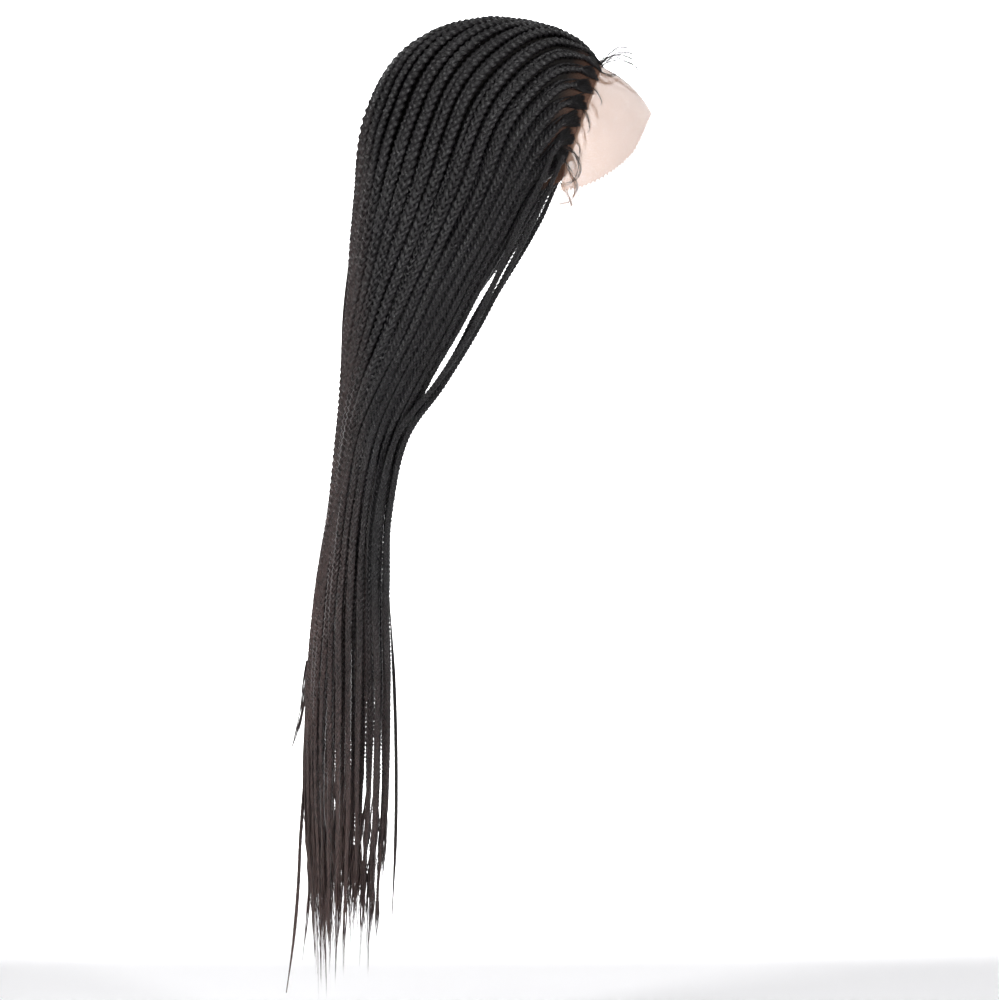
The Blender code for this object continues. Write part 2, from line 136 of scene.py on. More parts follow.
CURL_SPREAD = 3.2 * MM
CURL_THICKNESS = 0.2 * MM
FREE_SPREAD = 1.1 * MM
FREE_THICKNESS = 0.36 * MM

# Baby hairs that stand free, at the forehead and at the temple
FREE_CURLS_OUT = (-1.0, 0.0, 0.3)
FREE_CURLS = (
    (
        Point(-12, -84, -33), Point(-12, -101, -25), Point(-11, -117, -35),
        Point(-10, -128, -56), Point(-9, -129, -74),
    ),
    (
        Point(-16, -82, -34), Point(-15, -96, -21), Point(-14, -112, -21),
        Point(-12, -123, -30), Point(-11, -118, -42),
    ),
    (
        Point(-20, -80, -36), Point(-22, -90, -44), Point(-24, -101, -40),
        Point(-24, -110, -30),
    ),
    (
        Point(-74, -54, -108), Point(-78, -63, -116), Point(-79.5, -66, -127),
        Point(-80, -60, -137), Point(-80, -46, -141),
    ),
    (
        Point(-77, -50, -112), Point(-80, -58, -128), Point(-81, -64, -144),
        Point(-81, -63, -154), Point(-80, -57, -147),
    ),
)

# Search along a ray for the surface of the head
RAY_LENGTH = 300 * MM
HALVINGS = 30

# Braids of one side, from the temple to the middle line
CURTAIN_BRAIDS = 18
NARROWEST_WEIGHT = 0.62
NARROW_BRAIDS = 6
GAP_WEIGHTS = {7: 0.25, 9: 0.15, 11: 0.35}

# Arcs over the head, each in a plane hinged on a line through both temples. Braids cross
# an arc up to the share `reach` of the curtain, and draw together towards the middle line
# as `bend` grows. The other braids start further back, beside the middle line
HeadSection = namedtuple("HeadSection", "tilt_deg pivot_y pivot_z lift reach bend")
HEAD_SECTIONS = (
    HeadSection(109.5, -54, -117, 4.4, 0.42, 1.25),
    HeadSection(88, -53, -121, 6.2, 0.60, 1.3),
    HeadSection(66, -50, -126, 5.9, 0.88, 1.3),
    HeadSection(44, -46, -131, 6.0, 1.0, 1.12),
    HeadSection(22, -42, -135, 8.5, 1.0, 1.0),
)
ROOT_SHARE = 0.975
ROOT_BLENDS = 40
LEAST_STRETCH_DEG = 5

# Level cuts through the hanging braids, from behind the ears down
CurtainSection = namedtuple(
    "CurtainSection", "z y_front x_front y_wide half_width y_back"
)
CURTAIN_SECTIONS = (
    CurtainSection(-140, -36, 75, 25, 88, 115),
    CurtainSection(-180, -14, 79, 36, 89, 119),
    CurtainSection(-220, 10, 83, 47, 91, 122),
    CurtainSection(-260, 31, 89, 60, 95, 126),
    CurtainSection(-300, 54, 99, 76, 103, 128),
    CurtainSection(-340, 72, 110, 90, 113, 131),
    CurtainSection(-390, 82, 119, 98, 122, 136),
    CurtainSection(-470, 86, 125, 104, 128, 149),
    CurtainSection(-550, 85, 125, 106, 128, 157),
    CurtainSection(-630, 87, 122, 107, 125, 158),
    CurtainSection(-710, 92, 116, 108, 119, 154),
    CurtainSection(-800, 97, 110, 109, 113, 150),
)
CORNER_POWER = 2.5
ARC_STEPS = 64

# The left side hangs further back than the right between these heights, most in front
LEFT_DRAWBACK = 9.5 * MM
DRAWBACK_FROM = 150 * MM
DRAWBACK_TO = 240 * MM

# Height of the braid tips at shares of the way from the temple to the middle line
TIP_SHARES = (0.0, 0.25, 0.5, 0.75, 1.0)
TIP_HEIGHTS = (-738 * MM, -775 * MM, -800 * MM, -765 * MM, -710 * MM)
TIP_SPREAD = 14 * MM

# Height where the plaiting ends and the loose tail starts, at the same shares
PLAIT_END_HEIGHTS = (-705 * MM, -690 * MM, -655 * MM, -590 * MM, -535 * MM)
PLAIT_END_SPREAD = 28 * MM

# Two loose braids that frame the face on each side, from the temple down
LOOSE_ROUTES = (
    (
        Point(78, -53, -116), Point(79.3, -42, -140), Point(84, -23, -180),
        Point(87, -3, -220), Point(92, 18, -260), Point(103, 43, -300),
        Point(118, 71, -340), Point(127, 84, -390), Point(133, 88, -470),
        Point(133, 86, -550), Point(130, 88, -630), Point(124, 93, -715),
    ),
    (
        Point(80, -45, -112), Point(85, -34, -140), Point(87, -14, -180),
        Point(91, 3.5, -220), Point(98, 23, -260), Point(108.3, 48.5, -300),
        Point(119.3, 78.3, -340), Point(130, 92, -390), Point(136, 97, -470),
        Point(136, 95, -550), Point(133, 97, -630), Point(127, 101, -735),
    ),
)
LOOSE_START_WIDTH = 4.6 * MM
LOOSE_WIDTH = 6.3 * MM
LOOSE_END_SHARE = 0.65
LOOSE_TAIL = 70 * MM
LOOSE_OVERLAP = 12 * MM
LOOSE_DETAIL = {"Sides": 5, "Point Spacing": 2.1 * MM}
LOOSE_TAG = 150

# Inner braids: each group's shares of the curtain, tips and ends of the plaiting
UNDER_DEPTH = 9.5 * MM
UNDER_STAGGER = 2.5 * MM
UNDER_SHIFT = 0.02
UNDER_DETAIL = {"Sides": 4, "Point Spacing": 3.2 * MM}
UNDER_TAG = 200
UNDER_SEED = 9
UnderGroup = namedtuple("UnderGroup", "name first last braids tip plait_end")
UNDER_GROUPS = (
    UnderGroup("under_braids_side", 0.04, 0.48, 11, -742, -655),
    UnderGroup("under_braids_back", 0.52, 0.98, 12, -748, -570),
)

# Braids that lie between two others on the head and close to nearly nothing at their ends
BETWEEN_LIFT = -2.4 * MM
BETWEEN_WIDTH = 9.0 * MM
BETWEEN_ENDS = (-330 * MM, -430 * MM)
BETWEEN_OPENING = 30 * MM
CLOSING_LENGTH = 50 * MM
CLOSED_SHARE = 0.3

# The plait down the middle line: its first head section, lift and end
MIDDLE_FROM = 2
MIDDLE_LIFT = -1.2 * MM
MIDDLE_END = -560 * MM

# Plait sizes
HAIRLINE_WIDTH = 4.8 * MM
CROWN_ROOT_WIDTH = 8.0 * MM
HEAD_WIDTH = 12.0 * MM
HANGING_WIDTH = 7.0 * MM
LOW_WIDTH = 6.0 * MM
UNDER_START_WIDTH = 3.2 * MM
UNDER_WIDTH = 7.6 * MM
UNDER_LOOSENESS = 3.1
WIDE_DOWN_TO = 240 * MM
HANGING_FROM = 500 * MM
LOW_FROM = 620 * MM
ROOT_LENGTH = 70 * MM
ROOM_OVER_GAP = 1.15
OPENING = 40 * MM
END_LENGTH = 130 * MM
END_WIDTH_SHARE = 0.62
PITCH_SHARE = 1.85
PHASE_STEP = 1.7
GUIDE_STEPS = 10
CURTAIN_DETAIL = {"Sides": 5, "Point Spacing": 2.6 * MM}
FILLER_DETAIL = {"Sides": 4, "Point Spacing": 3.0 * MM}

# Slow turning of the curtain's plaits about their own path
ROLL = 0.3
ROLL_LENGTH = 190 * MM
ROLL_START = 80 * MM

# Wandering of a guide: lengths of its waves and their shares
Wave = namedtuple("Wave", "length share")
WANDER_WAVES = (Wave(310 * MM, 0.6), Wave(150 * MM, 0.3), Wave(83 * MM, 0.12))
WANDER_START = 60 * MM

# Numbers that set plaits and locks apart in the trees
SIDE_TAG = 30
FILLER_TAG = 70
NUMBER_STEP = 211.0
FIBRE_SHIFT = 3.7
LOCK_VARIETY = 0.35

# Root fans: shares of the way in from the hairline, and the sizes there
ROOT_FAN = 13 * MM
FAN_OVERLAP = 9 * MM
FAN_AHEAD = 3.2 * MM
FAN_FRONT_LIFT = 1.7 * MM
FAN_BACK_LIFT = 4.2 * MM
FAN_SPREAD = ((0, 0.45, 0.8, 1), (7.4 * MM, 5.8 * MM, 2.4 * MM, 1.2 * MM))
FAN_DEPTH = ((0, 0.7, 1), (0.35 * MM, 1.2 * MM, 0.72 * MM))
FAN_THICKNESS = ((0, 0.3, 1), (0.22 * MM, 0.36 * MM, 0.5 * MM))
FAN_SEED = 40
FAN_LOCKS = {
    "Locks": 130, "Shortest": 0.9, "Latest Start": 0.26, "Wave": 0.35 * MM,
    "Wave Length": 24 * MM, "Point Spacing": 4.0 * MM, "Sides": 3, "Blunt": 0.6,
}

# Tails: sizes as shares of the plait's width, and the power of looseness that each grows by
TailPoint = namedtuple("TailPoint", "share spread spread_grows thickness thickness_grows")
TAIL_POINTS = (
    TailPoint(0, 0.22, 0, 0.13, 0),
    TailPoint(0.12, 0.34, 0, 0.13, 0),
    TailPoint(0.4, 0.47, 1, 0.1, 0.5),
    TailPoint(0.65, 0.2, 1, 0.055, 0.5),
    TailPoint(1, 0.05, 1, 0.05, 0),
)
TAIL_OVERLAP = 14 * MM
TAIL_FLATNESS = 0.7
TAIL_LOCKS = {
    "Locks": 18, "Shortest": 0.42, "Wave": 0.7 * MM, "Wave Length": 75 * MM, "Blunt": 0.05,
    "Gather": 0.8,
}
CURTAIN_LOOSENESS = ((0.1, 0.35, 0.9), (1.3, 1.8, 2.4))
TIP_STEP = 2.4

# Thin braids that stray from the outline, and flicks of loose hair
STRAYS = (
    (
        Point(-16, 111, -130), Point(-15, 121, -190), Point(-14, 127, -240),
        Point(-13, 128.5, -290), Point(-13, 130, -340), Point(-14, 137, -400),
    ),
    (
        Point(-40, 152, -560), Point(-34, 158, -620), Point(-30, 162, -670),
        Point(-28, 164, -710), Point(-26, 168, -755), Point(-24, 174, -798),
    ),
    (
        Point(-118, 86, -470), Point(-119, 82, -540), Point(-119, 80.5, -600),
        Point(-117, 81, -660), Point(-112, 84, -722),
    ),
)
STRAY_WIDTH = 4.0 * MM
STRAY_CLOSING = 60 * MM
STRAY_DETAIL = {"Sides": 5, "Point Spacing": 1.6 * MM}
STRAY_TAG = 240
FLICKS = (
    (
        Point(-30, 155, -525), Point(-27, 161, -565), Point(-25, 168, -592),
        Point(-23, 174, -608),
    ),
    (
        Point(-52, 148, -640), Point(-46, 153, -690), Point(-42, 156, -735),
        Point(-38, 160, -770),
    ),
)
FLICK_SPREAD = 2.6 * MM
FLICK_THICKNESS = 0.75 * MM
FLICK_TAG = 250
FLICK_LOCKS = {
    "Locks": 16, "Shortest": 0.6, "Wave": 0.6 * MM, "Wave Length": 60 * MM, "Blunt": 0.1,
    "Gather": 0.6, "Seed": 17,
}

# Hair: its colours with a painted highlight streak, and the heights and depths over which a
# painted backlight turns it brown
HAIR_DARK = (0.003, 0.0026, 0.0029, 1)
HAIR_LIGHT = (0.012, 0.0108, 0.012, 1)
HAIR_PAINTED_BACKLIGHT = (0.098, 0.061, 0.054, 1)
HAIR_HIGHLIGHT_STREAK = (0.3136, 0.1952, 0.1728, 1)
HAIR_ROUGHNESS = (0.26, 0.43)
PAINTED_BACKLIGHT_DOWN = (-450 * MM, -740 * MM)
PAINTED_BACKLIGHT_BACK = (80 * MM, 130 * MM)
PAINTED_BACKLIGHT_TIPS = (-640 * MM, -760 * MM)
PAINTED_BACKLIGHT_BEHIND = (100 * MM, 150 * MM)

# Camera: level, square to the wearer's right side
CAMERA_DISTANCE = 2.5
CAMERA_Y = -0.0012
CAMERA_HEIGHT = -0.393
VIEW_HEIGHT = 0.83
SENSOR = 36.0
CLIP_START = 0.05

# Studio, in metres and watts
FLOOR_REACH = 6.0
FLOOR_LEVEL = -0.86
FLOOR_BEND = 1.2
FLOOR_BEND_STEPS = 12
BACKDROP_DISTANCE = 2.4
BACKDROP_TOP = 6.0
SKY_STRENGTH = 0.15
WIG_MIDDLE = (0, 0.03, -0.3)
Lamp = namedtuple("Lamp", "name place aim size power")
LAMPS = (
    Lamp("softbox_front", (-1.7, -1.5, 0.3), WIG_MIDDLE, (0.5, 0.8), 38),
    Lamp("softbox_back", (-1.3, 1.8, 0.3), WIG_MIDDLE, (0.5, 0.8), 36),
    Lamp("softbox_top", (-0.3, 0.1, 1.6), WIG_MIDDLE, (0.7, 0.7), 9),
    Lamp("backdrop_light", (1.2, 0.0, 1.2), (3.6, 0.0, 0.4), (2.0, 2.0), 240),
)


# The form of the head and of the curtain


def headness(points, lift):
    """Under 1 inside the head grown by lift, and 1 on its surface."""
    x = np.abs(points[:, 0]) / (HEAD_HALF_WIDTH + lift)
    ahead = np.maximum(-points[:, 1], 0) / (HEAD_FRONT + lift)
    behind = np.maximum(points[:, 1], 0) / (HEAD_BACK + lift)
    up = points[:, 2] + HEAD_UP
    above = np.maximum(up, 0) / (HEAD_UP + lift)
    below = np.maximum(-up, 0) / (HEAD_DOWN + lift)
    return (
        x**SIDE_POWER
        + ahead**FRONT_POWER
        + behind**BACK_POWER
        + above**SIDE_POWER
        + below**SIDE_POWER
    )


def head_normals(points):
    """Outward ways of the head's surface near points."""
    slopes = []
    for axis in np.eye(3) * MM:
        slopes.append(headness(points + axis, 0.0) - headness(points - axis, 0.0))
    return unit(np.stack(slopes, axis=1))


def on_head(start, directions, lift):
    """Where rays from a point inside the head leave the head grown by lift."""
    near = np.zeros(len(directions))
    far = np.full(len(directions), RAY_LENGTH)
    for _ in range(HALVINGS):
        middle = (near + far) / 2
        inside = headness(start + middle[:, None] * directions, lift) < 1
        near = np.where(inside, middle, near)
        far = np.where(inside, far, middle)
    return start + near[:, None] * directions


def head_arc(section, turns, lift):
    """Points on a head section, from the right temple at turn 0 to the middle line at 1."""
    tilt = math.radians(section.tilt_deg)
    angle = turns * math.pi / 2
    directions = np.stack(
        [-np.cos(angle), np.sin(angle) * math.cos(tilt), np.sin(angle) * math.sin(tilt)],
        axis=1,
    )
    pivot = np.array([0, section.pivot_y, section.pivot_z]) * MM
    return on_head(pivot, directions, section.lift * MM + lift)


def curtain_arc(section, turns, lift):
    """Points on a level cut, from the front edge at turn 0 to the middle line at 1."""
    side = np.clip(turns * 2, 0, 1)
    back = np.clip(turns * 2 - 1, 0, 1) * math.pi / 2
    x_front = section.x_front * MM + lift
    half_width = section.half_width * MM + lift
    x = x_front + (half_width - x_front) * np.sin(side * math.pi / 2)
    x = x * np.cos(back).clip(0) ** (2 / CORNER_POWER)
    y = section.y_front + (section.y_wide - section.y_front) * side
    depth = section.y_back * MM + lift - section.y_wide * MM
    y = y * MM + depth * np.sin(back) ** (2 / CORNER_POWER)
    return np.stack([-x, y, np.full(len(turns), section.z * MM)], axis=1)


def arc_points(arc, section, share, lift=0.0, grow=0.0):
    """The point at a share of an arc's length, the surface lifted and then grown."""
    turns = np.linspace(0, 1, ARC_STEPS + 1)
    along = lengths_along(arc(section, turns, lift))
    at = np.interp([share * along[-1]], along, turns)
    return arc(section, at, lift + grow)[0]


def crossing(section, share):
    """Where a braid crosses a head section, as a share of the arc up to the middle line."""
    return 1 - max(0.0, 1 - share / section.reach) ** section.bend


def root_section(share):
    """The section that a braid starts from, and the head sections that lie beyond it."""
    if crossing(HEAD_SECTIONS[0], share) <= ROOT_SHARE:
        return HEAD_SECTIONS[0], HEAD_SECTIONS[1:]
    pairs = enumerate(zip(HEAD_SECTIONS, HEAD_SECTIONS[1:]), 1)
    number, (ahead, behind) = next(
        pair for pair in pairs if crossing(pair[1][1], share) <= ROOT_SHARE
    )
    for blend in np.linspace(0, 1, ROOT_BLENDS + 1):
        root = HeadSection(*((1 - blend) * a + blend * b for a, b in zip(ahead, behind)))
        if crossing(root, share) <= ROOT_SHARE:
            break
    beyond = [s for s in HEAD_SECTIONS[number:] if s.tilt_deg < root.tilt_deg - LEAST_STRETCH_DEG]
    return root._replace(lift=HEAD_SECTIONS[0].lift), beyond


def smooth_route(points, steps):
    """A smooth curve through the points, with this many steps for each stretch."""
    points = np.asarray(points)
    chords = np.linalg.norm(np.diff(points, axis=0), axis=1)
    slopes = np.diff(points, axis=0) / chords[:, None]
    weights = chords[:-1] / (chords[:-1] + chords[1:])
    inner = slopes[:-1] * (1 - weights[:, None]) + slopes[1:] * weights[:, None]
    tangents = np.vstack([slopes[:1], inner, slopes[-1:]])
    route = [points[0]]
    for i, chord in enumerate(chords):
        for t in np.arange(1, steps + 1) / steps:
            route.append(
                (2 * t**3 - 3 * t**2 + 1) * points[i]
                + (t**3 - 2 * t**2 + t) * chord * tangents[i]
                + (3 * t**2 - 2 * t**3) * points[i + 1]
                + (t**3 - t**2) * chord * tangents[i + 1]
            )
    return np.array(route)


def unit(vectors):
    return vectors / np.linalg.norm(vectors, axis=-1, keepdims=True)


def ramp(values, reach, start, end):
    """From start at 0 to end at reach, and level on either side."""
    return np.interp(values, [0, reach], [start, end])


def lengths_along(route):
    steps = np.linalg.norm(np.diff(route, axis=0), axis=1)
    return np.concatenate([[0], np.cumsum(steps)])


def braid_shares():
    """Where the middle of each braid lies along an arc from the temple to the middle."""
    braids = np.arange(CURTAIN_BRAIDS)
    widths = NARROWEST_WEIGHT + (1 - NARROWEST_WEIGHT) * np.minimum(braids / NARROW_BRAIDS, 1)
    gaps = np.array([GAP_WEIGHTS.get(i, 0) for i in braids])
    edges = np.concatenate([[0], np.cumsum(widths + gaps)])
    return (edges[:-1] + widths / 2) / edges[-1]


# Guides: a path with the way out from the head and the way across at each point

Guide = namedtuple("Guide", "route out across along")


def finish_guide(route, out):
    """A guide from a route and rough outward vectors."""
    ahead = unit(np.gradient(route, axis=0))
    out = unit(out - ahead * np.sum(out * ahead, axis=1)[:, None])
    across = unit(np.cross(ahead, out))
    return Guide(route, out, across, lengths_along(route))


def guide_through(pairs, lift=0.0):
    """The guide through a share of each section, lifted by a depth of its own."""
    inner = []
    outer = []
    for arc, section, share in pairs:
        inner.append(arc_points(arc, section, share, lift))
        outer.append(arc_points(arc, section, share, lift, MM))
    route = smooth_route(inner, GUIDE_STEPS)
    return finish_guide(route, smooth_route(outer, GUIDE_STEPS) - route)


def curtain_pairs(share):
    return [(curtain_arc, section, share) for section in CURTAIN_SECTIONS]


def sunk(guide, lifts):
    """The guide sunk in at its root, with what is too deep raised to its lift off the head."""
    route = guide.route - guide.out * ramp(guide.along, ROOT_LENGTH, ROOT_SINK, 0)[:, None]
    raised = on_head(HEAD_CENTRE, unit(route - HEAD_CENTRE), lifts)
    deep = headness(route, lifts) < 1
    return finish_guide(np.where(deep[:, None], raised, route), guide.out)


def braid_guide(share, lift=0.0):
    """The guide of one curtain braid on the right side, from its root to the end."""
    root, beyond = root_section(share)
    pairs = [(head_arc, section, crossing(section, share)) for section in (root, *beyond)]
    guide = guide_through(pairs + curtain_pairs(share), lift)
    return sunk(guide, ramp(guide.along, ROOT_LENGTH, ROOT_LEAST_LIFT, LEAST_LIFT) + lift)


def on_side(guide, share, side):
    """A guide of the right side, or its match on the left, which hangs further back."""
    if side == "right":
        return guide
    route = guide.route * MIRROR
    lower = np.interp(-route[:, 2], [DRAWBACK_FROM, DRAWBACK_TO], [0, 1])
    route[:, 1] += LEFT_DRAWBACK * (1 - share) * lower
    return Guide(route, guide.out * MIRROR, guide.across * MIRROR, guide.along)


def wander(guide, rng, sideways, outward):
    """The guide led slightly astray, as hair hangs."""
    along = guide.along
    fade = np.clip(along / WANDER_START, 0, 1)
    swing = np.zeros(len(along))
    lift = np.zeros(len(along))
    for wave in WANDER_WAVES:
        swing += wave.share * np.sin(along / wave.length * TURN + rng.uniform(0, TURN))
        lift += wave.share * np.sin(along / wave.length * TURN + rng.uniform(0, TURN))
    route = guide.route + guide.across * (swing * fade * sideways)[:, None]
    route = route + guide.out * (lift * fade * outward)[:, None]
    return finish_guide(route, guide.out)


def rolled(guide, angles):
    """The guide with its outward way turned about the path."""
    out = guide.out * np.cos(angles)[:, None] + guide.across * np.sin(angles)[:, None]
    return finish_guide(guide.route, out)


# Node trees


def link_or_set(tree, socket, source):
    if isinstance(source, bpy.types.NodeSocket):
        tree.links.new(source, socket)
    else:
        socket.default_value = source


def add_node(tree, kind, inputs=None, **settings):
    """A new node, its settings first and then its inputs by name or number."""
    node = tree.nodes.new(kind)
    for name, value in settings.items():
        setattr(node, name, value)
    for key, source in (inputs or {}).items():
        link_or_set(tree, node.inputs[key], source)
    return node


def first(tree, kind, inputs=None, **settings):
    """The first output of a new node."""
    return add_node(tree, kind, inputs, **settings).outputs[0]


def calc(tree, operation, *terms):
    return first(tree, "ShaderNodeMath", dict(enumerate(terms)), operation=operation)


def times(tree, *terms):
    """The product of numbers and fields."""
    product = terms[0]
    for term in terms[1:]:
        product = calc(tree, "MULTIPLY", product, term)
    return product


def vector_of(tree, x, y, z):
    return first(tree, "ShaderNodeCombineXYZ", {"X": x, "Y": y, "Z": z})


def attribute(tree, name, data_type="FLOAT"):
    return first(tree, "GeometryNodeInputNamedAttribute", {"Name": name}, data_type=data_type)


def random_value(tree, low, high, number, seed):
    inputs = {"Min_001": low, "Max_001": high, "ID": number, "Seed": seed}
    node = add_node(tree, "FunctionNodeRandomValue", data_type="FLOAT")
    for socket in node.inputs:
        if socket.identifier in inputs:
            link_or_set(tree, socket, inputs[socket.identifier])
    return node.outputs[1]


def new_tree(name, kind, inputs, outputs):
    """A tree whose inputs are given by their defaults, or by the kind of their socket."""
    tree = bpy.data.node_groups.new(name, kind)
    for label, value in inputs.items():
        socket_type = SOCKET_KINDS.get(type(value), value)
        socket = tree.interface.new_socket(label, in_out="INPUT", socket_type=socket_type)
        if socket_type is not value:
            socket.default_value = value
    for label, socket_type in outputs.items():
        tree.interface.new_socket(label, in_out="OUTPUT", socket_type=socket_type)
    given = tree.nodes.new("NodeGroupInput").outputs
    return tree, given, tree.nodes.new("NodeGroupOutput").inputs


def capture(tree, geometry, label, field):
    """Keep a field at the points of a geometry, and give both."""
    node = add_node(tree, "GeometryNodeCaptureAttribute", {"Geometry": geometry}, domain="POINT")
    node.capture_items.new("FLOAT", label)
    link_or_set(tree, node.inputs[1], field)
    return node.outputs[0], node.outputs[1]


def resampled(tree, curve, given):
    inputs = {"Curve": curve, "Length": given["Point Spacing"]}
    return first(tree, "GeometryNodeResampleCurve", inputs, mode="LENGTH")


def set_off(tree, curve, sideways, outwards):
    """Strands set off from their guides, with their flat side outward."""
    ways = []
    for label, length in (("across", sideways), ("out", outwards)):
        inputs = {"Vector": attribute(tree, label, "FLOAT_VECTOR"), "Scale": length}
        ways.append(first(tree, "ShaderNodeVectorMath", inputs, operation="SCALE"))
    offset = first(tree, "ShaderNodeVectorMath", dict(enumerate(ways)), operation="ADD")
    strands = first(tree, "GeometryNodeSetPosition", {"Geometry": curve, "Offset": offset})
    inputs = {"Curve": strands, "Normal": attribute(tree, "out", "FLOAT_VECTOR")}
    return first(tree, "GeometryNodeSetCurveNormal", inputs, mode="FREE")


def sweep(tree, curve, radius, number, given, results):
    """Sweep a flattened ring along strands, keep the fibre run on it, and end the tree."""
    length = tree.nodes.new("GeometryNodeSplineParameter").outputs["Length"]
    curve, along = capture(tree, curve, "Along", length)
    curve, strand = capture(tree, curve, "Strand", number)
    inputs = {"Resolution": given["Sides"], "Radius": 1.0}
    ring = first(tree, "GeometryNodeCurvePrimitiveCircle", inputs, mode="RADIUS")
    turn = first(tree, "GeometryNodeSplineParameter")
    profile, around = capture(tree, ring, "Around", turn)
    flat = vector_of(tree, 1.0, given["Flatness"], 1.0)
    profile = first(tree, "GeometryNodeTransform", {"Geometry": profile, "Scale": flat})
    mesh = first(
        tree, "GeometryNodeCurveToMesh",
        {"Curve": curve, "Profile Curve": profile, "Scale": radius, "Fill Caps": True},
    )
    angle = times(tree, around, TURN)
    fibre = vector_of(
        tree,
        calc(tree, "ADD", calc(tree, "COSINE", angle), times(tree, strand, FIBRE_SHIFT)),
        calc(tree, "SINE", angle),
        times(tree, along, 1 / MM),
    )
    mesh = first(
        tree, "GeometryNodeStoreNamedAttribute",
        {"Geometry": mesh, "Name": "fibre", "Value": fibre},
        data_type="FLOAT_VECTOR", domain="POINT",
    )
    mesh = first(tree, "GeometryNodeRealizeInstances", {"Geometry": mesh})
    inputs = {"Geometry": mesh, "Material": given["Material"]}
    tree.links.new(first(tree, "GeometryNodeSetMaterial", inputs), results[0])


def make_plait_tree():
    """Three strands that cross over each other along each guide."""
    tree, given, results = new_tree("plait", "GeometryNodeTree", {
        **GEOMETRY,
        "Point Spacing": 2.2 * MM,
        "Sides": 6,
        "Swing": 0.27,
        "Crossing Depth": 0.115,
        "Strand Width": 0.25,
        "Flatness": 0.72,
        "Material": "NodeSocketMaterial",
    }, GEOMETRY)
    curve = first(tree, "GeometryNodeMeshToCurve", {"Mesh": given["Geometry"]})
    inputs = {"Geometry": resampled(tree, curve, given), "Amount": 3}
    copies = add_node(tree, "GeometryNodeDuplicateElements", inputs, domain="SPLINE").outputs
    phase = calc(tree, "ADD", attribute(tree, "twist"), times(tree, copies[1], TURN / 3))
    width = attribute(tree, "width")
    swing = times(tree, calc(tree, "SINE", phase), given["Swing"], width)
    depth = calc(tree, "SINE", times(tree, phase, 2.0))
    depth = times(tree, depth, times(tree, given["Crossing Depth"], -1.0), width)
    strands = set_off(tree, copies[0], swing, depth)
    number = calc(tree, "ADD", copies[1], attribute(tree, "number"))
    sweep(tree, strands, times(tree, width, given["Strand Width"]), number, given, results)
    return tree


def make_lock_tree():
    """Fine locks scattered about each guide, each ending at a length of its own."""
    tree, given, results = new_tree("locks", "GeometryNodeTree", {
        **GEOMETRY,
        "Locks": 12,
        "Point Spacing": 9 * MM,
        "Sides": 4,
        "Shortest": 0.55,
        "Latest Start": 0.0,
        "Wave": 0.6 * MM,
        "Wave Length": 70 * MM,
        "Blunt": 0.15,
        "Gather": 0.0,
        "Flatness": 0.7,
        "Seed": 1,
        "Material": "NodeSocketMaterial",
    }, GEOMETRY)
    curve = first(tree, "GeometryNodeMeshToCurve", {"Mesh": given["Geometry"]})
    inputs = {"Geometry": curve, "Amount": given["Locks"]}
    copies = add_node(tree, "GeometryNodeDuplicateElements", inputs, domain="SPLINE").outputs
    number = times(tree, attribute(tree, "number"), NUMBER_STEP)
    number = calc(tree, "ADD", calc(tree, "ADD", number, copies[1]), 0.5)
    curve, number = capture(tree, copies[0], "Number", number)
    end = random_value(tree, given["Shortest"], 1.0, number, given["Seed"])
    seed = calc(tree, "ADD", given["Seed"], 1.0)
    start = random_value(tree, 0.0, given["Latest Start"], number, seed)
    inputs = {"Curve": curve, "Start": start, "End": end}
    curve = resampled(tree, first(tree, "GeometryNodeTrimCurve", inputs, mode="FACTOR"), given)
    spots = []
    for step in (2.0, 3.0, 4.0, 5.0):
        seed = calc(tree, "ADD", given["Seed"], step)
        spots.append(random_value(tree, -1.0, 1.0, number, seed))
    aside, outside, phase, plumper = spots
    parameter = tree.nodes.new("GeometryNodeSplineParameter").outputs
    waved = calc(tree, "DIVIDE", parameter["Length"], given["Wave Length"])
    waved = calc(tree, "ADD", times(tree, waved, TURN), times(tree, phase, math.pi))
    waves = times(tree, calc(tree, "SINE", waved), given["Wave"])
    gathered = times(tree, calc(tree, "POWER", parameter["Factor"], 3.0), given["Gather"])
    gathered = calc(tree, "SUBTRACT", 1.0, gathered)
    sideways = times(tree, aside, attribute(tree, "spread_across"))
    sideways = times(tree, calc(tree, "ADD", sideways, waves), gathered)
    outwards = times(tree, outside, attribute(tree, "spread_out"), gathered)
    strands = set_off(tree, curve, sideways, outwards)
    left = calc(tree, "SUBTRACT", 1.0, parameter["Factor"])
    taper = calc(tree, "SQRT", calc(tree, "MAXIMUM", left, 0.0))
    taper = times(tree, taper, calc(tree, "SUBTRACT", 1.0, given["Blunt"]))
    taper = calc(tree, "ADD", taper, given["Blunt"])
    size = calc(tree, "ADD", 1.0, times(tree, plumper, LOCK_VARIETY))
    radius = times(tree, taper, size, attribute(tree, "thick"))
    sweep(tree, strands, radius, number, given, results)
    return tree


# Meshes and pieces


def add_object(name, data):
    made = bpy.data.objects.new(name, data)
    bpy.context.scene.collection.objects.link(made)
    return made


def store(mesh, label, values, kind="FLOAT"):
    """Keep an attribute at the points of a mesh, for the trees and materials."""
    layer = mesh.attributes.new(label, kind, "POINT")
    field = "vector" if kind == "FLOAT_VECTOR" else "value"
    layer.data.foreach_set(field, values.astype(np.float32).ravel())


def evaluated_mesh(source):
    """The mesh that an object's modifiers make, with the object taken out again."""
    evaluated = source.evaluated_get(bpy.context.evaluated_depsgraph_get())
    made = bpy.data.meshes.new_from_object(evaluated)
    mesh = source.data
    bpy.data.objects.remove(source, do_unlink=True)
    bpy.data.meshes.remove(mesh)
    return made


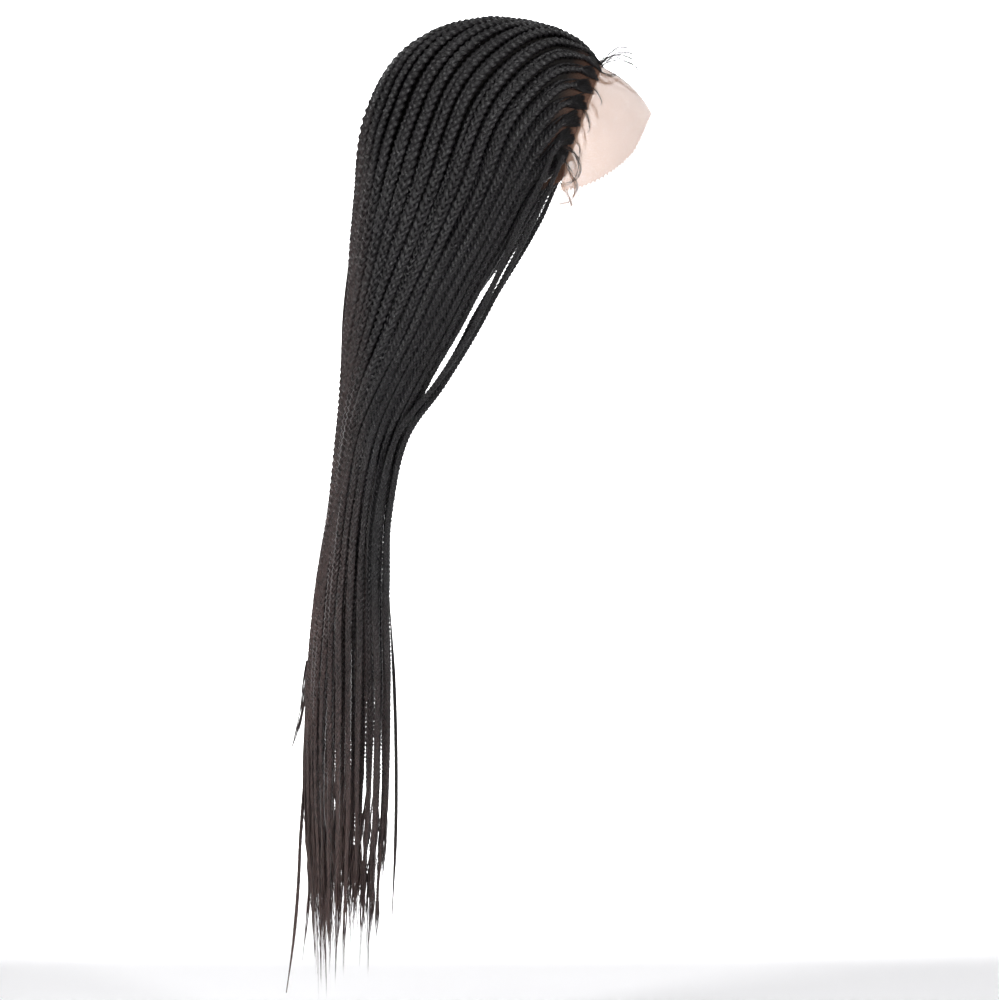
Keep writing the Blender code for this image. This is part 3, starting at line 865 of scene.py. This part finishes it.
def guides_mesh(guides, numbers, extras):
    """Guides as chains of edges, with what the trees read at each point."""
    shape = bmesh.new()
    for guide in guides:
        chain = [shape.verts.new(Vector(place)) for place in guide.route]
        for ahead, behind in zip(chain, chain[1:]):
            shape.edges.new((ahead, behind))
    mesh = bpy.data.meshes.new("guides")
    shape.to_mesh(mesh)
    shape.free()
    store(mesh, "out", np.concatenate([g.out for g in guides]), "FLOAT_VECTOR")
    store(mesh, "across", np.concatenate([g.across for g in guides]), "FLOAT_VECTOR")
    extras["number"] = [np.full(len(g.route), n) for g, n in zip(guides, numbers)]
    for label, parts in extras.items():
        store(mesh, label, np.concatenate(parts))
    return mesh


def grow(tree, mesh, settings, hair):
    """The plain mesh that a tree makes from a mesh of guides."""
    source = add_object("guide", mesh)
    modifier = source.modifiers.new("grow", "NODES")
    modifier.node_group = tree
    values = {**settings, "Material": hair}
    for item in tree.interface.items_tree:
        if item.item_type == "SOCKET" and item.in_out == "INPUT" and item.name in values:
            modifier[item.identifier] = values[item.name]
    return evaluated_mesh(source)


def finish_piece(name, meshes, material, node=None):
    """One smooth piece of several meshes, which rides on the body in place of its solid."""
    shape = bmesh.new()
    for mesh in meshes:
        shape.from_mesh(mesh)
        bpy.data.meshes.remove(mesh)
    for face in shape.faces:
        face.smooth = True
    whole = bpy.data.meshes.new(name)
    shape.to_mesh(whole)
    shape.free()
    whole.materials.append(material)
    piece = add_object(name, whole)
    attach(piece, BODY)
    if node:
        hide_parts(node)
    return piece


# Materials


def new_material(name):
    """A material with its node tree and the inputs of its shader."""
    made = bpy.data.materials.new(name)
    made.use_nodes = True
    return made, made.node_tree, made.node_tree.nodes["Principled BSDF"].inputs


def mix_colors(tree, factor, color, other):
    inputs = {0: factor, 6: color, 7: other}
    return add_node(tree, "ShaderNodeMix", inputs, data_type="RGBA").outputs[2]


def ranged(tree, value, span, new_span=(0.0, 1.0)):
    """A value taken from one span to another, and held at its ends."""
    inputs = {"Value": value, "From Min": span[0], "From Max": span[1]}
    inputs.update({"To Min": new_span[0], "To Max": new_span[1]})
    return first(tree, "ShaderNodeMapRange", inputs)


def add_bump(tree, surface, height, strength, distance):
    inputs = {"Height": height, "Strength": strength, "Distance": distance}
    tree.links.new(first(tree, "ShaderNodeBump", inputs), surface["Normal"])


def make_fibre_group():
    """Fine hair along the strands, from 0 to 1, and a slow drift."""
    group, given, results = new_tree(
        "hair_fibre", "ShaderNodeTree", {"Fibres Around": 9.0, "Stretch": 0.1, "Drift": 0.03},
        dict.fromkeys(("Fine", "Drift"), "NodeSocketFloat"),
    )
    fibre = add_node(group, "ShaderNodeAttribute", attribute_name="fibre").outputs["Vector"]
    x, y, z = add_node(group, "ShaderNodeSeparateXYZ", {0: fibre}).outputs
    around_x = times(group, x, given["Fibres Around"])
    around_y = times(group, y, given["Fibres Around"])
    spot = vector_of(group, around_x, around_y, times(group, z, given["Stretch"]))
    fine = first(group, "ShaderNodeTexNoise", {"Vector": spot, "Scale": 1.0, "Detail": 2.0})
    spot = vector_of(group, x, y, times(group, z, given["Drift"]))
    slow = first(group, "ShaderNodeTexNoise", {"Vector": spot, "Scale": 0.8, "Detail": 1.0})
    group.links.new(fine, results["Fine"])
    group.links.new(slow, results["Drift"])
    return group


def make_hair_material():
    made, tree, surface = new_material("braid_hair")
    surface["Specular IOR Level"].default_value = 0.38
    fibres = add_node(tree, "ShaderNodeGroup", node_tree=make_fibre_group()).outputs
    place = tree.nodes.new("ShaderNodeTexCoord").outputs["Object"]
    _, depth, height = add_node(tree, "ShaderNodeSeparateXYZ", {0: place}).outputs
    # Painted backlight: the hair is coloured browner low down, towards the back and at the tips,
    # in place of light shining through it
    low = ranged(tree, height, PAINTED_BACKLIGHT_DOWN)
    low = times(tree, low, ranged(tree, depth, PAINTED_BACKLIGHT_BACK, (0.35, 1.0)))
    lowest = ranged(tree, height, PAINTED_BACKLIGHT_TIPS, (0.0, 0.75))
    behind = ranged(tree, depth, PAINTED_BACKLIGHT_BEHIND, (0.0, 0.55))
    painted_backlight = calc(tree, "MAXIMUM", calc(tree, "MAXIMUM", low, lowest), behind)
    drift = ranged(tree, fibres["Drift"], (0.36, 0.64))
    color = mix_colors(tree, drift, HAIR_DARK, HAIR_LIGHT)
    backlight_tinge = times(tree, painted_backlight, ranged(tree, drift, (0.0, 1.0), (0.15, 1.0)))
    color = mix_colors(tree, backlight_tinge, color, HAIR_PAINTED_BACKLIGHT)
    # Painted highlight: lighter streaks along the fibres, grey on the head and brownish where the
    # backlight is painted
    highlight_streaks = ranged(tree, fibres["Fine"], (0.5, 0.68), (0.0, 0.8))
    shine = mix_colors(tree, painted_backlight, HAIR_LIGHT, HAIR_HIGHLIGHT_STREAK)
    color = mix_colors(tree, highlight_streaks, color, shine)
    tree.links.new(color, surface["Base Color"])
    fine = ranged(tree, fibres["Fine"], (0.3, 0.7))
    tree.links.new(ranged(tree, fine, (0.0, 1.0), HAIR_ROUGHNESS), surface["Roughness"])
    add_bump(tree, surface, fibres["Fine"], 1.0, 0.35 * MM)
    return made


def make_net_group():
    """Threads of a fine net: a mask that is 1 on thread."""
    group, given, results = new_tree(
        "net_threads", "ShaderNodeTree", {"Threads": 700.0, "Thread Width": 0.45},
        {"Mask": "NodeSocketFloat"},
    )
    place = first(group, "ShaderNodeUVMap", uv_map="threads")
    x, y, _ = add_node(group, "ShaderNodeSeparateXYZ", {0: place}).outputs
    masks = []
    for angle in np.radians((0, 60, 120)):
        u = times(group, x, float(np.cos(angle)))
        v = times(group, y, float(np.sin(angle)))
        run = times(group, calc(group, "ADD", u, v), given["Threads"])
        wave = calc(group, "ABSOLUTE", calc(group, "SINE", times(group, run, math.pi)))
        masks.append(calc(group, "LESS_THAN", wave, given["Thread Width"]))
    mask = calc(group, "MAXIMUM", calc(group, "MAXIMUM", masks[0], masks[1]), masks[2])
    group.links.new(mask, results["Mask"])
    return group


def make_cap_material(net_group):
    made, tree, surface = new_material("cap_net")
    surface["Roughness"].default_value = 0.75
    surface["Specular IOR Level"].default_value = 0.25
    net = first(tree, "ShaderNodeGroup", node_tree=net_group)
    net.node.inputs["Threads"].default_value = 420.0
    front = add_node(tree, "ShaderNodeAttribute", attribute_name="front").outputs["Fac"]
    front = ranged(tree, front, (0.35, 0.9))
    ground = mix_colors(tree, front, CAP_GROUND, FRONT_GROUND)
    thread = mix_colors(tree, front, CAP_THREAD, FRONT_THREAD)
    tree.links.new(mix_colors(tree, net, ground, thread), surface["Base Color"])
    add_bump(tree, surface, net, 0.5, 0.2 * MM)
    return made


def make_lace_material(net_group):
    made, tree, surface = new_material("sheer_lace")
    surface["Roughness"].default_value = 0.65
    surface["Sheen Weight"].default_value = 0.2
    net = first(tree, "ShaderNodeGroup", node_tree=net_group)
    place = tree.nodes.new("ShaderNodeTexCoord").outputs["Object"]
    inputs = {"Vector": place, "Scale": 60.0, "Detail": 3.0}
    cloud = first(tree, "ShaderNodeTexNoise", inputs)
    tree.links.new(mix_colors(tree, cloud, LACE_TAN, LACE_LIGHT_TAN), surface["Base Color"])
    tree.links.new(ranged(tree, net, (0.0, 1.0), LACE_ALPHA), surface["Alpha"])
    add_bump(tree, surface, net, 0.3, 0.1 * MM)
    return made


# Cap and lace


def rim_slopes(bearings):
    """Slopes from straight up at which the cap ends, at bearings from the face."""
    turns = np.linspace(1, 0, RIM_SAMPLES)
    hairline = head_arc(HEAD_SECTIONS[0], turns, -HEAD_SECTIONS[0].lift * MM)
    known = list(np.degrees(np.arctan2(-hairline[:, 0], -hairline[:, 1])))
    flat = np.hypot(hairline[:, 0], hairline[:, 1])
    slopes = list(np.arctan2(flat, hairline[:, 2] + HEAD_UP))
    for rim in CAP_RIM_BEHIND_TEMPLE:
        bearing = math.radians(rim.bearing_deg)
        level = np.array([0, 0, rim.z * MM])
        out = np.array([[-math.sin(bearing), -math.cos(bearing), 0]])
        place = on_head(level, out, 0.0)[0]
        known.append(rim.bearing_deg)
        slopes.append(math.atan2(math.hypot(place[0], place[1]), place[2] + HEAD_UP))
    return np.interp(np.abs(bearings), known, slopes)


def grid_mesh(name, rows, uvs, closed):
    """A mesh of quads over rows of points, with a map in metres, closed round or open."""
    columns = len(rows[0])
    count = columns if closed else columns - 1
    faces = []
    for row in range(len(rows) - 1):
        for column in range(count):
            beside = (column + 1) % columns
            faces.append((
                row * columns + column, row * columns + beside,
                (row + 1) * columns + beside, (row + 1) * columns + column,
            ))
    mesh = bpy.data.meshes.new(name)
    mesh.from_pydata([tuple(point) for point in np.concatenate(rows)], [], faces)
    flat = np.concatenate(uvs)
    layer = mesh.uv_layers.new(name="threads")
    corners = [flat[vertex] for face in faces for vertex in face]
    layer.data.foreach_set("uv", np.array(corners, dtype=np.float32).ravel())
    return mesh


def faced_outward(mesh, filled=False):
    """The mesh with doubles merged and its faces outward, its holes filled first or not."""
    shape = bmesh.new()
    shape.from_mesh(mesh)
    bmesh.ops.remove_doubles(shape, verts=shape.verts, dist=0.01 * MM)
    if filled:
        bmesh.ops.holes_fill(shape, edges=[edge for edge in shape.edges if edge.is_boundary])
    bmesh.ops.recalc_face_normals(shape, faces=shape.faces)
    shape.to_mesh(mesh)
    shape.free()
    return mesh


def make_net_cap(material):
    """The cap: a thin shell over the head, with a rolled hem."""
    bearings = np.linspace(-180, 180, CAP_COLUMNS, endpoint=False)
    slopes = rim_slopes(bearings)
    turn = np.radians(bearings)
    shares = list(np.linspace(CAP_TOP_SHARE, 1, CAP_RINGS))
    rolled_hem = np.interp(np.abs(bearings), [HEM_FROM_DEG, HEM_FULL_DEG], [0, RIM_ROLL])
    rings = [(share, CAP_OUTER) for share in shares]
    rings += [(share, CAP_OUTER + rolled_hem) for share in HEM_SHARES]
    rings += [(RIM_OUTER_SHARE, CAP_OUTER), (RIM_INNER_SHARE, CAP_INNER)]
    rings += [(share, CAP_INNER) for share in reversed(shares)]
    rows = []
    uvs = []
    for share, lift in rings:
        polar = share * slopes
        directions = np.stack(
            [np.sin(turn) * np.sin(polar), -np.cos(turn) * np.sin(polar), np.cos(polar)],
            axis=1,
        )
        rows.append(on_head(HEAD_CENTRE, directions, lift))
        uvs.append(np.stack([turn * HEAD_HALF_WIDTH, polar * HEAD_FRONT], axis=1))
    mesh = faced_outward(grid_mesh("net_cap", rows, uvs, True), filled=True)
    places = np.array([vertex.co for vertex in mesh.vertices])
    hairline = head_arc(HEAD_SECTIONS[0], np.linspace(0, 1, RIM_SAMPLES), 0.0)
    hairline = np.concatenate([hairline, hairline * MIRROR])
    away = np.linalg.norm(places[:, None] - hairline[None], axis=2).min(axis=1)
    store(mesh, "front", np.clip(1 - away / FRONT_BAND, 0, 1))
    finish_piece("net_cap", [mesh], material, "wig_cap")


def lace_edge(turns):
    """The free edge of the lace, smooth across the middle line."""
    points = [(-edge.x, edge.y, edge.z) for edge in LACE_EDGE]
    points.append(tuple(LACE_EDGE[-2]))
    route = smooth_route(np.array(points) * MM, LACE_EDGE_STEPS)
    known = np.linspace(0, 1, LACE_EDGE_STEPS * (len(LACE_EDGE) - 1) + 1)
    route = route[: len(known)]
    return np.stack([np.interp(turns, known, route[:, axis]) for axis in range(3)], axis=1)


def lace_points(turns, shares, lift=0.0):
    """Points of the lace at pairs of turn and share, on the right side."""
    start = head_arc(HEAD_SECTIONS[0], turns, LACE_LIFT - HEAD_SECTIONS[0].lift * MM)
    edge = lace_edge(turns)
    first_row = start + unit(edge - start) * LACE_SEAM
    bulge = LACE_BULGE * 4 * shares * (1 - shares) + lift
    out = unit(start - HEAD_CENTRE) * bulge[:, None]
    return first_row + (edge - first_row) * shares[:, None] + out


def make_lace(material):
    """The lace front: a sheet from the hairline to its pinked edge."""
    columns = 2 * LACE_PINKS + 1
    turns = np.linspace(0, 1, columns)
    rows = [lace_points(turns, np.full(columns, s)) for s in np.linspace(0, 1, LACE_RINGS + 1)]
    inward = unit(rows[-3] - rows[-1])
    rows[-1] = rows[-1] + inward * PINK_DEPTH * (np.arange(columns) % 2)[:, None]
    width = lengths_along(rows[-1])
    rows = [np.concatenate([row, row[-2::-1] * MIRROR]) for row in rows]
    width = np.concatenate([width, 2 * width[-1] - width[-2::-1]])
    down = np.zeros(len(width))
    uvs = []
    for number, row in enumerate(rows):
        if number:
            down = down + np.linalg.norm(row - rows[number - 1], axis=1)
        uvs.append(np.stack([width, down], axis=1))
    mesh = faced_outward(grid_mesh("lace", rows, uvs, False))
    source = add_object("lace", mesh)
    wall = source.modifiers.new("wall", "SOLIDIFY")
    wall.thickness = LACE_THICKNESS
    wall.offset = 0
    piece = finish_piece("lace_net", [evaluated_mesh(source)], material, "lace_front")


def make_baby_hairs(kit):
    """Fine curls that lie on the lace along the hairline, and a few that stand free."""
    rows = []
    for curl in CURLS:
        turns = np.array([point.turn for point in curl])
        shares = np.array([point.share for point in curl])
        route = smooth_route(lace_points(turns, shares, CURL_LIFT), GUIDE_STEPS)
        guide = finish_guide(route, unit(route - HEAD_CENTRE))
        rows += [(on_side(guide, 1, side), CURL_SPREAD, CURL_THICKNESS) for side in SIDES]
    for curl in FREE_CURLS:
        guide = free_guide(curl, FREE_CURLS_OUT)
        rows += [(on_side(guide, 1, side), FREE_SPREAD, FREE_THICKNESS) for side in SIDES]
    guides = [guide for guide, _, _ in rows]
    spread = [size * ramp(g.along, g.along[-1], 1.0, 0.5) for g, size, _ in rows]
    outs = [np.full(len(g.along), CURL_DEPTH) for g in guides]
    thick = [np.full(len(g.along), thickness) for g, _, thickness in rows]
    numbers = range(CURL_TAG, CURL_TAG + len(guides))
    mesh = lock_mesh(guides, spread, outs, thick, numbers, CURL_LOCKS, kit)
    finish_piece("baby_hairs", [mesh], kit.hair)


# Plaits and tails


def gap_between(guide, other):
    """Distance from each point of a guide to another guide, along the surface."""
    offsets = guide.route[:, None] - other.route[None]
    deep = np.sum(offsets * guide.out[:, None], axis=2)
    offsets = offsets - guide.out[:, None] * deep[..., None]
    return np.linalg.norm(offsets, axis=2).min(axis=1)


def eased(values, reach):
    """Values along a guide, each averaged with its neighbours."""
    padded = np.pad(values, reach, mode="edge")
    return np.convolve(padded, np.ones(2 * reach + 1) / (2 * reach + 1), mode="valid")


def plait_width(guide, room, root_width, plump):
    """Width of a plait: small at its root, full on the head, less where it hangs."""
    heights = [WIDE_DOWN_TO, HANGING_FROM, LOW_FROM]
    limit = np.interp(-guide.route[:, 2], heights, [HEAD_WIDTH, HANGING_WIDTH, LOW_WIDTH])
    root = ramp(guide.along, ROOT_LENGTH, root_width, HEAD_WIDTH)
    return eased(np.minimum(np.minimum(limit, root), room) * plump, 3)


def twist_along(guide, width):
    """Plaiting phase along a guide, a full turn for each pitch."""
    steps = np.diff(guide.along)
    middles = (width[:-1] + width[1:]) / 2
    return np.concatenate([[0], np.cumsum(TURN * steps / (PITCH_SHARE * middles))])


def stretch(guide, start, end):
    """The part of a guide between two lengths."""
    kept = (guide.along >= start) & (guide.along <= end)
    part = Guide(*(field[kept] for field in guide))
    return part._replace(along=part.along - part.along[0])


def length_at_height(guide, height):
    """How far along a guide it first hangs below a height."""
    below = guide.route[:, 2] < height
    return guide.along[int(np.argmax(below))] if below.any() else guide.along[-1]


def plait_mesh(guides, widths, numbers, detail, kit):
    rows = zip(guides, widths, numbers)
    twists = [twist_along(guide, width) + number * PHASE_STEP for guide, width, number in rows]
    mesh = guides_mesh(guides, numbers, {"width": widths, "twist": twists})
    return grow(kit.plait, mesh, detail, kit.hair)


def lock_mesh(guides, spread_across, spread_out, thick, numbers, settings, kit):
    extras = {"spread_across": spread_across, "spread_out": spread_out, "thick": thick}
    return grow(kit.locks, guides_mesh(guides, numbers, extras), settings, kit.hair)


def tail_mesh(guides, plait_widths, looseness, numbers, seed, kit):
    """Loose hair from the end of the plaiting, drawn out to a point."""
    spots = [point.share for point in TAIL_POINTS]
    spread = [p.spread * looseness**p.spread_grows for p in TAIL_POINTS]
    thickness = [p.thickness * looseness**p.thickness_grows for p in TAIL_POINTS]
    across = []
    thick = []
    for guide, width in zip(guides, plait_widths):
        share = guide.along / guide.along[-1]
        across.append(width * np.interp(share, spots, spread))
        thick.append(width * np.interp(share, spots, thickness))
    outs = [value * TAIL_FLATNESS for value in across]
    settings = {**TAIL_LOCKS, "Seed": seed}
    return lock_mesh(guides, across, outs, thick, numbers, settings, kit)


def root_fan_mesh(guide, number, kit):
    """Combed hair that runs in from the hairline and gathers into the start of a plait."""
    fan = stretch(guide, 0, ROOT_FAN + FAN_OVERLAP)
    ahead = fan.route[0] - unit(fan.route[1] - fan.route[0]) * FAN_AHEAD
    route = np.concatenate([[ahead], fan.route])
    share = lengths_along(route) / lengths_along(route)[-1]
    lifts = ramp(share, 1, FAN_FRONT_LIFT, FAN_BACK_LIFT)
    route = on_head(HEAD_CENTRE, unit(route - HEAD_CENTRE), lifts)
    fan = finish_guide(route, head_normals(route))
    sizes = [[np.interp(share, *table)] for table in (FAN_SPREAD, FAN_DEPTH, FAN_THICKNESS)]
    settings = {**FAN_LOCKS, "Seed": number + FAN_SEED}
    return lock_mesh([fan], *sizes, [number], settings, kit)


def plait_end_height(share, rng):
    base = float(np.interp(share, TIP_SHARES, PLAIT_END_HEIGHTS))
    return base + rng.uniform(-1, 1) * PLAIT_END_SPREAD


def tip_height(share, number):
    spread = TIP_SPREAD * math.sin(number * TIP_STEP)
    return float(np.interp(share, TIP_SHARES, TIP_HEIGHTS)) + spread


def rooms(guides, number):
    """Mean distance from a braid to the ones beside it."""
    beside = [guides[i] for i in (number - 1, number + 1) if 0 <= i < len(guides)]
    if number == len(guides) - 1:
        across = guides[number]
        beside.append(across._replace(route=across.route * MIRROR))
    gaps = [gap_between(guides[number], other) for other in beside]
    return np.minimum(np.mean(gaps, axis=0), np.min(gaps, axis=0) * ROOM_OVER_GAP)


def closing(guide):
    """Shares that narrow a plait down to nearly nothing at its end."""
    return ramp(guide.along[-1] - guide.along, CLOSING_LENGTH, CLOSED_SHARE, 1)


def between_plait(shares, number, side, rng):
    """A plait that fills the gap between a braid and the next, a little deeper."""
    share = (shares[number] + shares[number + 1]) / 2
    guide = wander(braid_guide(share, BETWEEN_LIFT), rng, 1.2 * MM, 0.3 * MM)
    end = length_at_height(guide, rng.uniform(*BETWEEN_ENDS))
    start = ROOT_FAN if share < HEAD_SECTIONS[0].reach else 0
    guide = stretch(on_side(guide, share, side), start, end)
    width = ramp(guide.along, ROOT_LENGTH, HAIRLINE_WIDTH, BETWEEN_WIDTH)
    return guide, width * ramp(guide.along, BETWEEN_OPENING, 0.25, 1) * closing(guide)


def middle_plait():
    """A plait down the middle line from the crown, behind the two last braids."""
    pairs = [(head_arc, section, 1.0) for section in HEAD_SECTIONS[MIDDLE_FROM:]]
    guide = guide_through(pairs + curtain_pairs(1.0), MIDDLE_LIFT)
    guide = sunk(guide, LEAST_LIFT + MIDDLE_LIFT)
    guide = stretch(guide, 0, length_at_height(guide, MIDDLE_END))
    return guide, ramp(guide.along, OPENING, HAIRLINE_WIDTH, BETWEEN_WIDTH) * closing(guide)


def make_curtain_braids(kit):
    shares = braid_shares()
    base = [braid_guide(share) for share in shares]
    for side in SIDES:
        rng = random.Random(f"curtain {side}")
        for number, share in enumerate(shares):
            tag = number + SIDE_TAG * SIDES.index(side)
            at_hairline = crossing(HEAD_SECTIONS[0], share) <= ROOT_SHARE
            guide = wander(base[number], rng, 1.0 * MM, 0.6 * MM)
            phase = rng.uniform(0, TURN)
            roll = ROLL * np.sin(guide.along / ROLL_LENGTH * TURN + phase)
            guide = rolled(guide, roll * np.clip(guide.along / ROLL_START, 0, 1))
            guide = on_side(guide, share, side)
            start = ROOT_FAN if at_hairline else 0
            end = length_at_height(guide, plait_end_height(share, rng))
            tip = length_at_height(guide, tip_height(share, number))
            root_width = HAIRLINE_WIDTH if at_hairline else CROWN_ROOT_WIDTH
            width = plait_width(guide, rooms(base, number), root_width, rng.uniform(0.96, 1.05))
            width = width * ramp(end - guide.along, END_LENGTH, END_WIDTH_SHARE, 1)
            kept = (guide.along >= start) & (guide.along <= end)
            plait = stretch(guide, start, end)
            tail = stretch(guide, end - TAIL_OVERLAP, tip)
            tail_width = float(np.interp(end, guide.along, width))
            looseness = np.interp(share, *CURTAIN_LOOSENESS)
            meshes = [
                plait_mesh([plait], [width[kept]], [tag], CURTAIN_DETAIL, kit),
                tail_mesh([tail], [tail_width], looseness, [tag], tag + 5, kit),
            ]
            if at_hairline:
                meshes.append(root_fan_mesh(guide, tag, kit))
            filler = None
            if number + 1 < len(shares):
                filler = between_plait(shares, number, side, rng)
            elif side == "right":
                filler = middle_plait()
            if filler:
                guides, widths = [filler[0]], [filler[1]]
                meshes.append(plait_mesh(guides, widths, [tag + FILLER_TAG], FILLER_DETAIL, kit))
            label = f"{side}_{number + 1:02d}"
            finish_piece(f"plait_{label}", meshes, kit.hair, f"braid_{label}")


def free_guide(points, out):
    """A guide through points of a route in the open."""
    route = smooth_route(np.array(points) * MM, GUIDE_STEPS)
    return finish_guide(route, np.tile(np.array(out), (len(route), 1)))


def make_loose_braids(kit):
    for side in SIDES:
        rng = random.Random(f"loose {side}")
        for number, points in enumerate(LOOSE_ROUTES):
            guide = free_guide([p._replace(x=-p.x) for p in points], TO_THE_RIGHT)
            guide = on_side(wander(guide, rng, 0.8 * MM, 0.5 * MM), 0, side)
            end = guide.along[-1] - LOOSE_TAIL
            plait = stretch(guide, 0, end)
            tail = stretch(guide, end - LOOSE_OVERLAP, guide.along[-1])
            width = ramp(plait.along, OPENING, LOOSE_START_WIDTH, LOOSE_WIDTH)
            width = width * ramp(end - plait.along, END_LENGTH, LOOSE_END_SHARE, 1.0)
            tag = LOOSE_TAG + number + 5 * SIDES.index(side)
            tail_width = LOOSE_WIDTH * LOOSE_END_SHARE
            meshes = [
                plait_mesh([plait], [width], [tag], LOOSE_DETAIL, kit),
                tail_mesh([tail], [tail_width], 1.0, [tag], tag, kit),
            ]
            label = f"{side}_{number + 1}"
            name = f"face_framing_plait_{label}"
            finish_piece(name, meshes, kit.hair, f"loose_braid_{label}")


def make_under_braids(kit):
    for group in UNDER_GROUPS:
        for side in SIDES:
            rng = random.Random(f"{group.name} {side}")
            plaits = []
            tails = []
            widths = []
            shift = UNDER_SHIFT if side == "right" else -UNDER_SHIFT
            shares = np.linspace(group.first, group.last, group.braids) + shift
            for number, share in enumerate(shares):
                depth = UNDER_DEPTH + (UNDER_STAGGER if number % 2 else -UNDER_STAGGER)
                guide = guide_through(curtain_pairs(share), -depth)
                guide = on_side(wander(guide, rng, 2.0 * MM, 1.0 * MM), share, side)
                tip = length_at_height(guide, (group.tip + rng.uniform(-38, 26)) * MM)
                end = length_at_height(guide, (group.plait_end + rng.uniform(-34, 34)) * MM)
                plait = stretch(guide, 0, end)
                plaits.append(plait)
                tails.append(stretch(guide, end - TAIL_OVERLAP, tip))
                grown = ramp(plait.along, OPENING, UNDER_START_WIDTH, UNDER_WIDTH)
                widths.append(grown * ramp(end - plait.along, END_LENGTH, END_WIDTH_SHARE, 1.0))
            numbers = range(UNDER_TAG, UNDER_TAG + len(plaits))
            ends = [width[-1] for width in widths]
            meshes = [
                plait_mesh(plaits, widths, numbers, UNDER_DETAIL, kit),
                tail_mesh(tails, ends, UNDER_LOOSENESS, numbers, UNDER_SEED, kit),
            ]
            name = f"{group.name.replace('braids', 'plaits')}_{side}"
            finish_piece(name, meshes, kit.hair, f"{group.name}_{side}")


def make_stray_plaits(kit):
    guides = [free_guide(points, TO_THE_RIGHT) for points in STRAYS]
    widths = []
    for guide in guides:
        ends = np.minimum(guide.along, guide.along[-1] - guide.along)
        widths.append(STRAY_WIDTH * ramp(ends, STRAY_CLOSING, CLOSED_SHARE, 1.0))
    numbers = range(STRAY_TAG, STRAY_TAG + len(guides))
    flicks = [free_guide(points, TO_THE_RIGHT) for points in FLICKS]
    spread = [np.full(len(g.along), FLICK_SPREAD) for g in flicks]
    thick = [np.full(len(g.along), FLICK_THICKNESS) for g in flicks]
    flick_numbers = range(FLICK_TAG, FLICK_TAG + len(flicks))
    meshes = [
        plait_mesh(guides, widths, numbers, STRAY_DETAIL, kit),
        lock_mesh(flicks, spread, spread, thick, flick_numbers, FLICK_LOCKS, kit),
    ]
    finish_piece("stray_plaits", meshes, kit.hair)


# Camera, floor and light


def make_camera():
    lens = bpy.data.cameras.new("camera")
    lens.sensor_width = SENSOR
    lens.lens = SENSOR * CAMERA_DISTANCE / VIEW_HEIGHT
    lens.clip_start = CLIP_START
    camera = add_object("camera", lens)
    camera.location = (-CAMERA_DISTANCE, CAMERA_Y, CAMERA_HEIGHT)
    camera.rotation_euler = (math.radians(90), 0, math.radians(-90))
    bpy.context.scene.camera = camera


def make_floor():
    """A pale floor that sweeps up into a backdrop behind the wig."""
    profile = [(-FLOOR_REACH, FLOOR_LEVEL)]
    for angle in np.linspace(0, math.pi / 2, FLOOR_BEND_STEPS + 1):
        x = BACKDROP_DISTANCE + FLOOR_BEND * math.sin(angle)
        profile.append((x, FLOOR_LEVEL + FLOOR_BEND * (1 - math.cos(angle))))
    profile.append((BACKDROP_DISTANCE + FLOOR_BEND, BACKDROP_TOP))
    shape = bmesh.new()
    rows = []
    for x, z in profile:
        rows.append([shape.verts.new((x, y, z)) for y in (-FLOOR_REACH, FLOOR_REACH)])
    for near, far in zip(rows, rows[1:]):
        shape.faces.new((near[0], far[0], far[1], near[1]))
    mesh = bpy.data.meshes.new("studio_floor")
    shape.to_mesh(mesh)
    shape.free()
    mesh.shade_smooth()
    paper, _, surface = new_material("studio_paper")
    surface["Base Color"].default_value = (0.93, 0.93, 0.94, 1)
    surface["Roughness"].default_value = 0.9
    mesh.materials.append(paper)
    add_object("studio_floor", mesh)


def make_lights():
    world = bpy.data.worlds.new("studio")
    world.use_nodes = True
    sky = world.node_tree.nodes["Background"].inputs
    sky["Color"].default_value = (1.0, 1.0, 1.0, 1)
    sky["Strength"].default_value = SKY_STRENGTH
    bpy.context.scene.world = world
    bpy.context.scene.view_settings.view_transform = "Standard"
    for lamp in LAMPS:
        light = bpy.data.lights.new(lamp.name, "AREA")
        light.shape = "RECTANGLE"
        light.size, light.size_y = lamp.size
        light.energy = lamp.power
        made = add_object(lamp.name, light)
        made.location = lamp.place
        way = Vector(lamp.aim) - Vector(lamp.place)
        made.rotation_euler = way.to_track_quat("-Z", "Y").to_euler()


def main():
    make_camera()
    make_floor()
    make_lights()
    kit = Kit(make_plait_tree(), make_lock_tree(), make_hair_material())
    make_curtain_braids(kit)
    make_loose_braids(kit)
    make_under_braids(kit)
    make_stray_plaits(kit)
    net = make_net_group()
    make_net_cap(make_cap_material(net))
    make_lace(make_lace_material(net))
    make_baby_hairs(kit)


main()
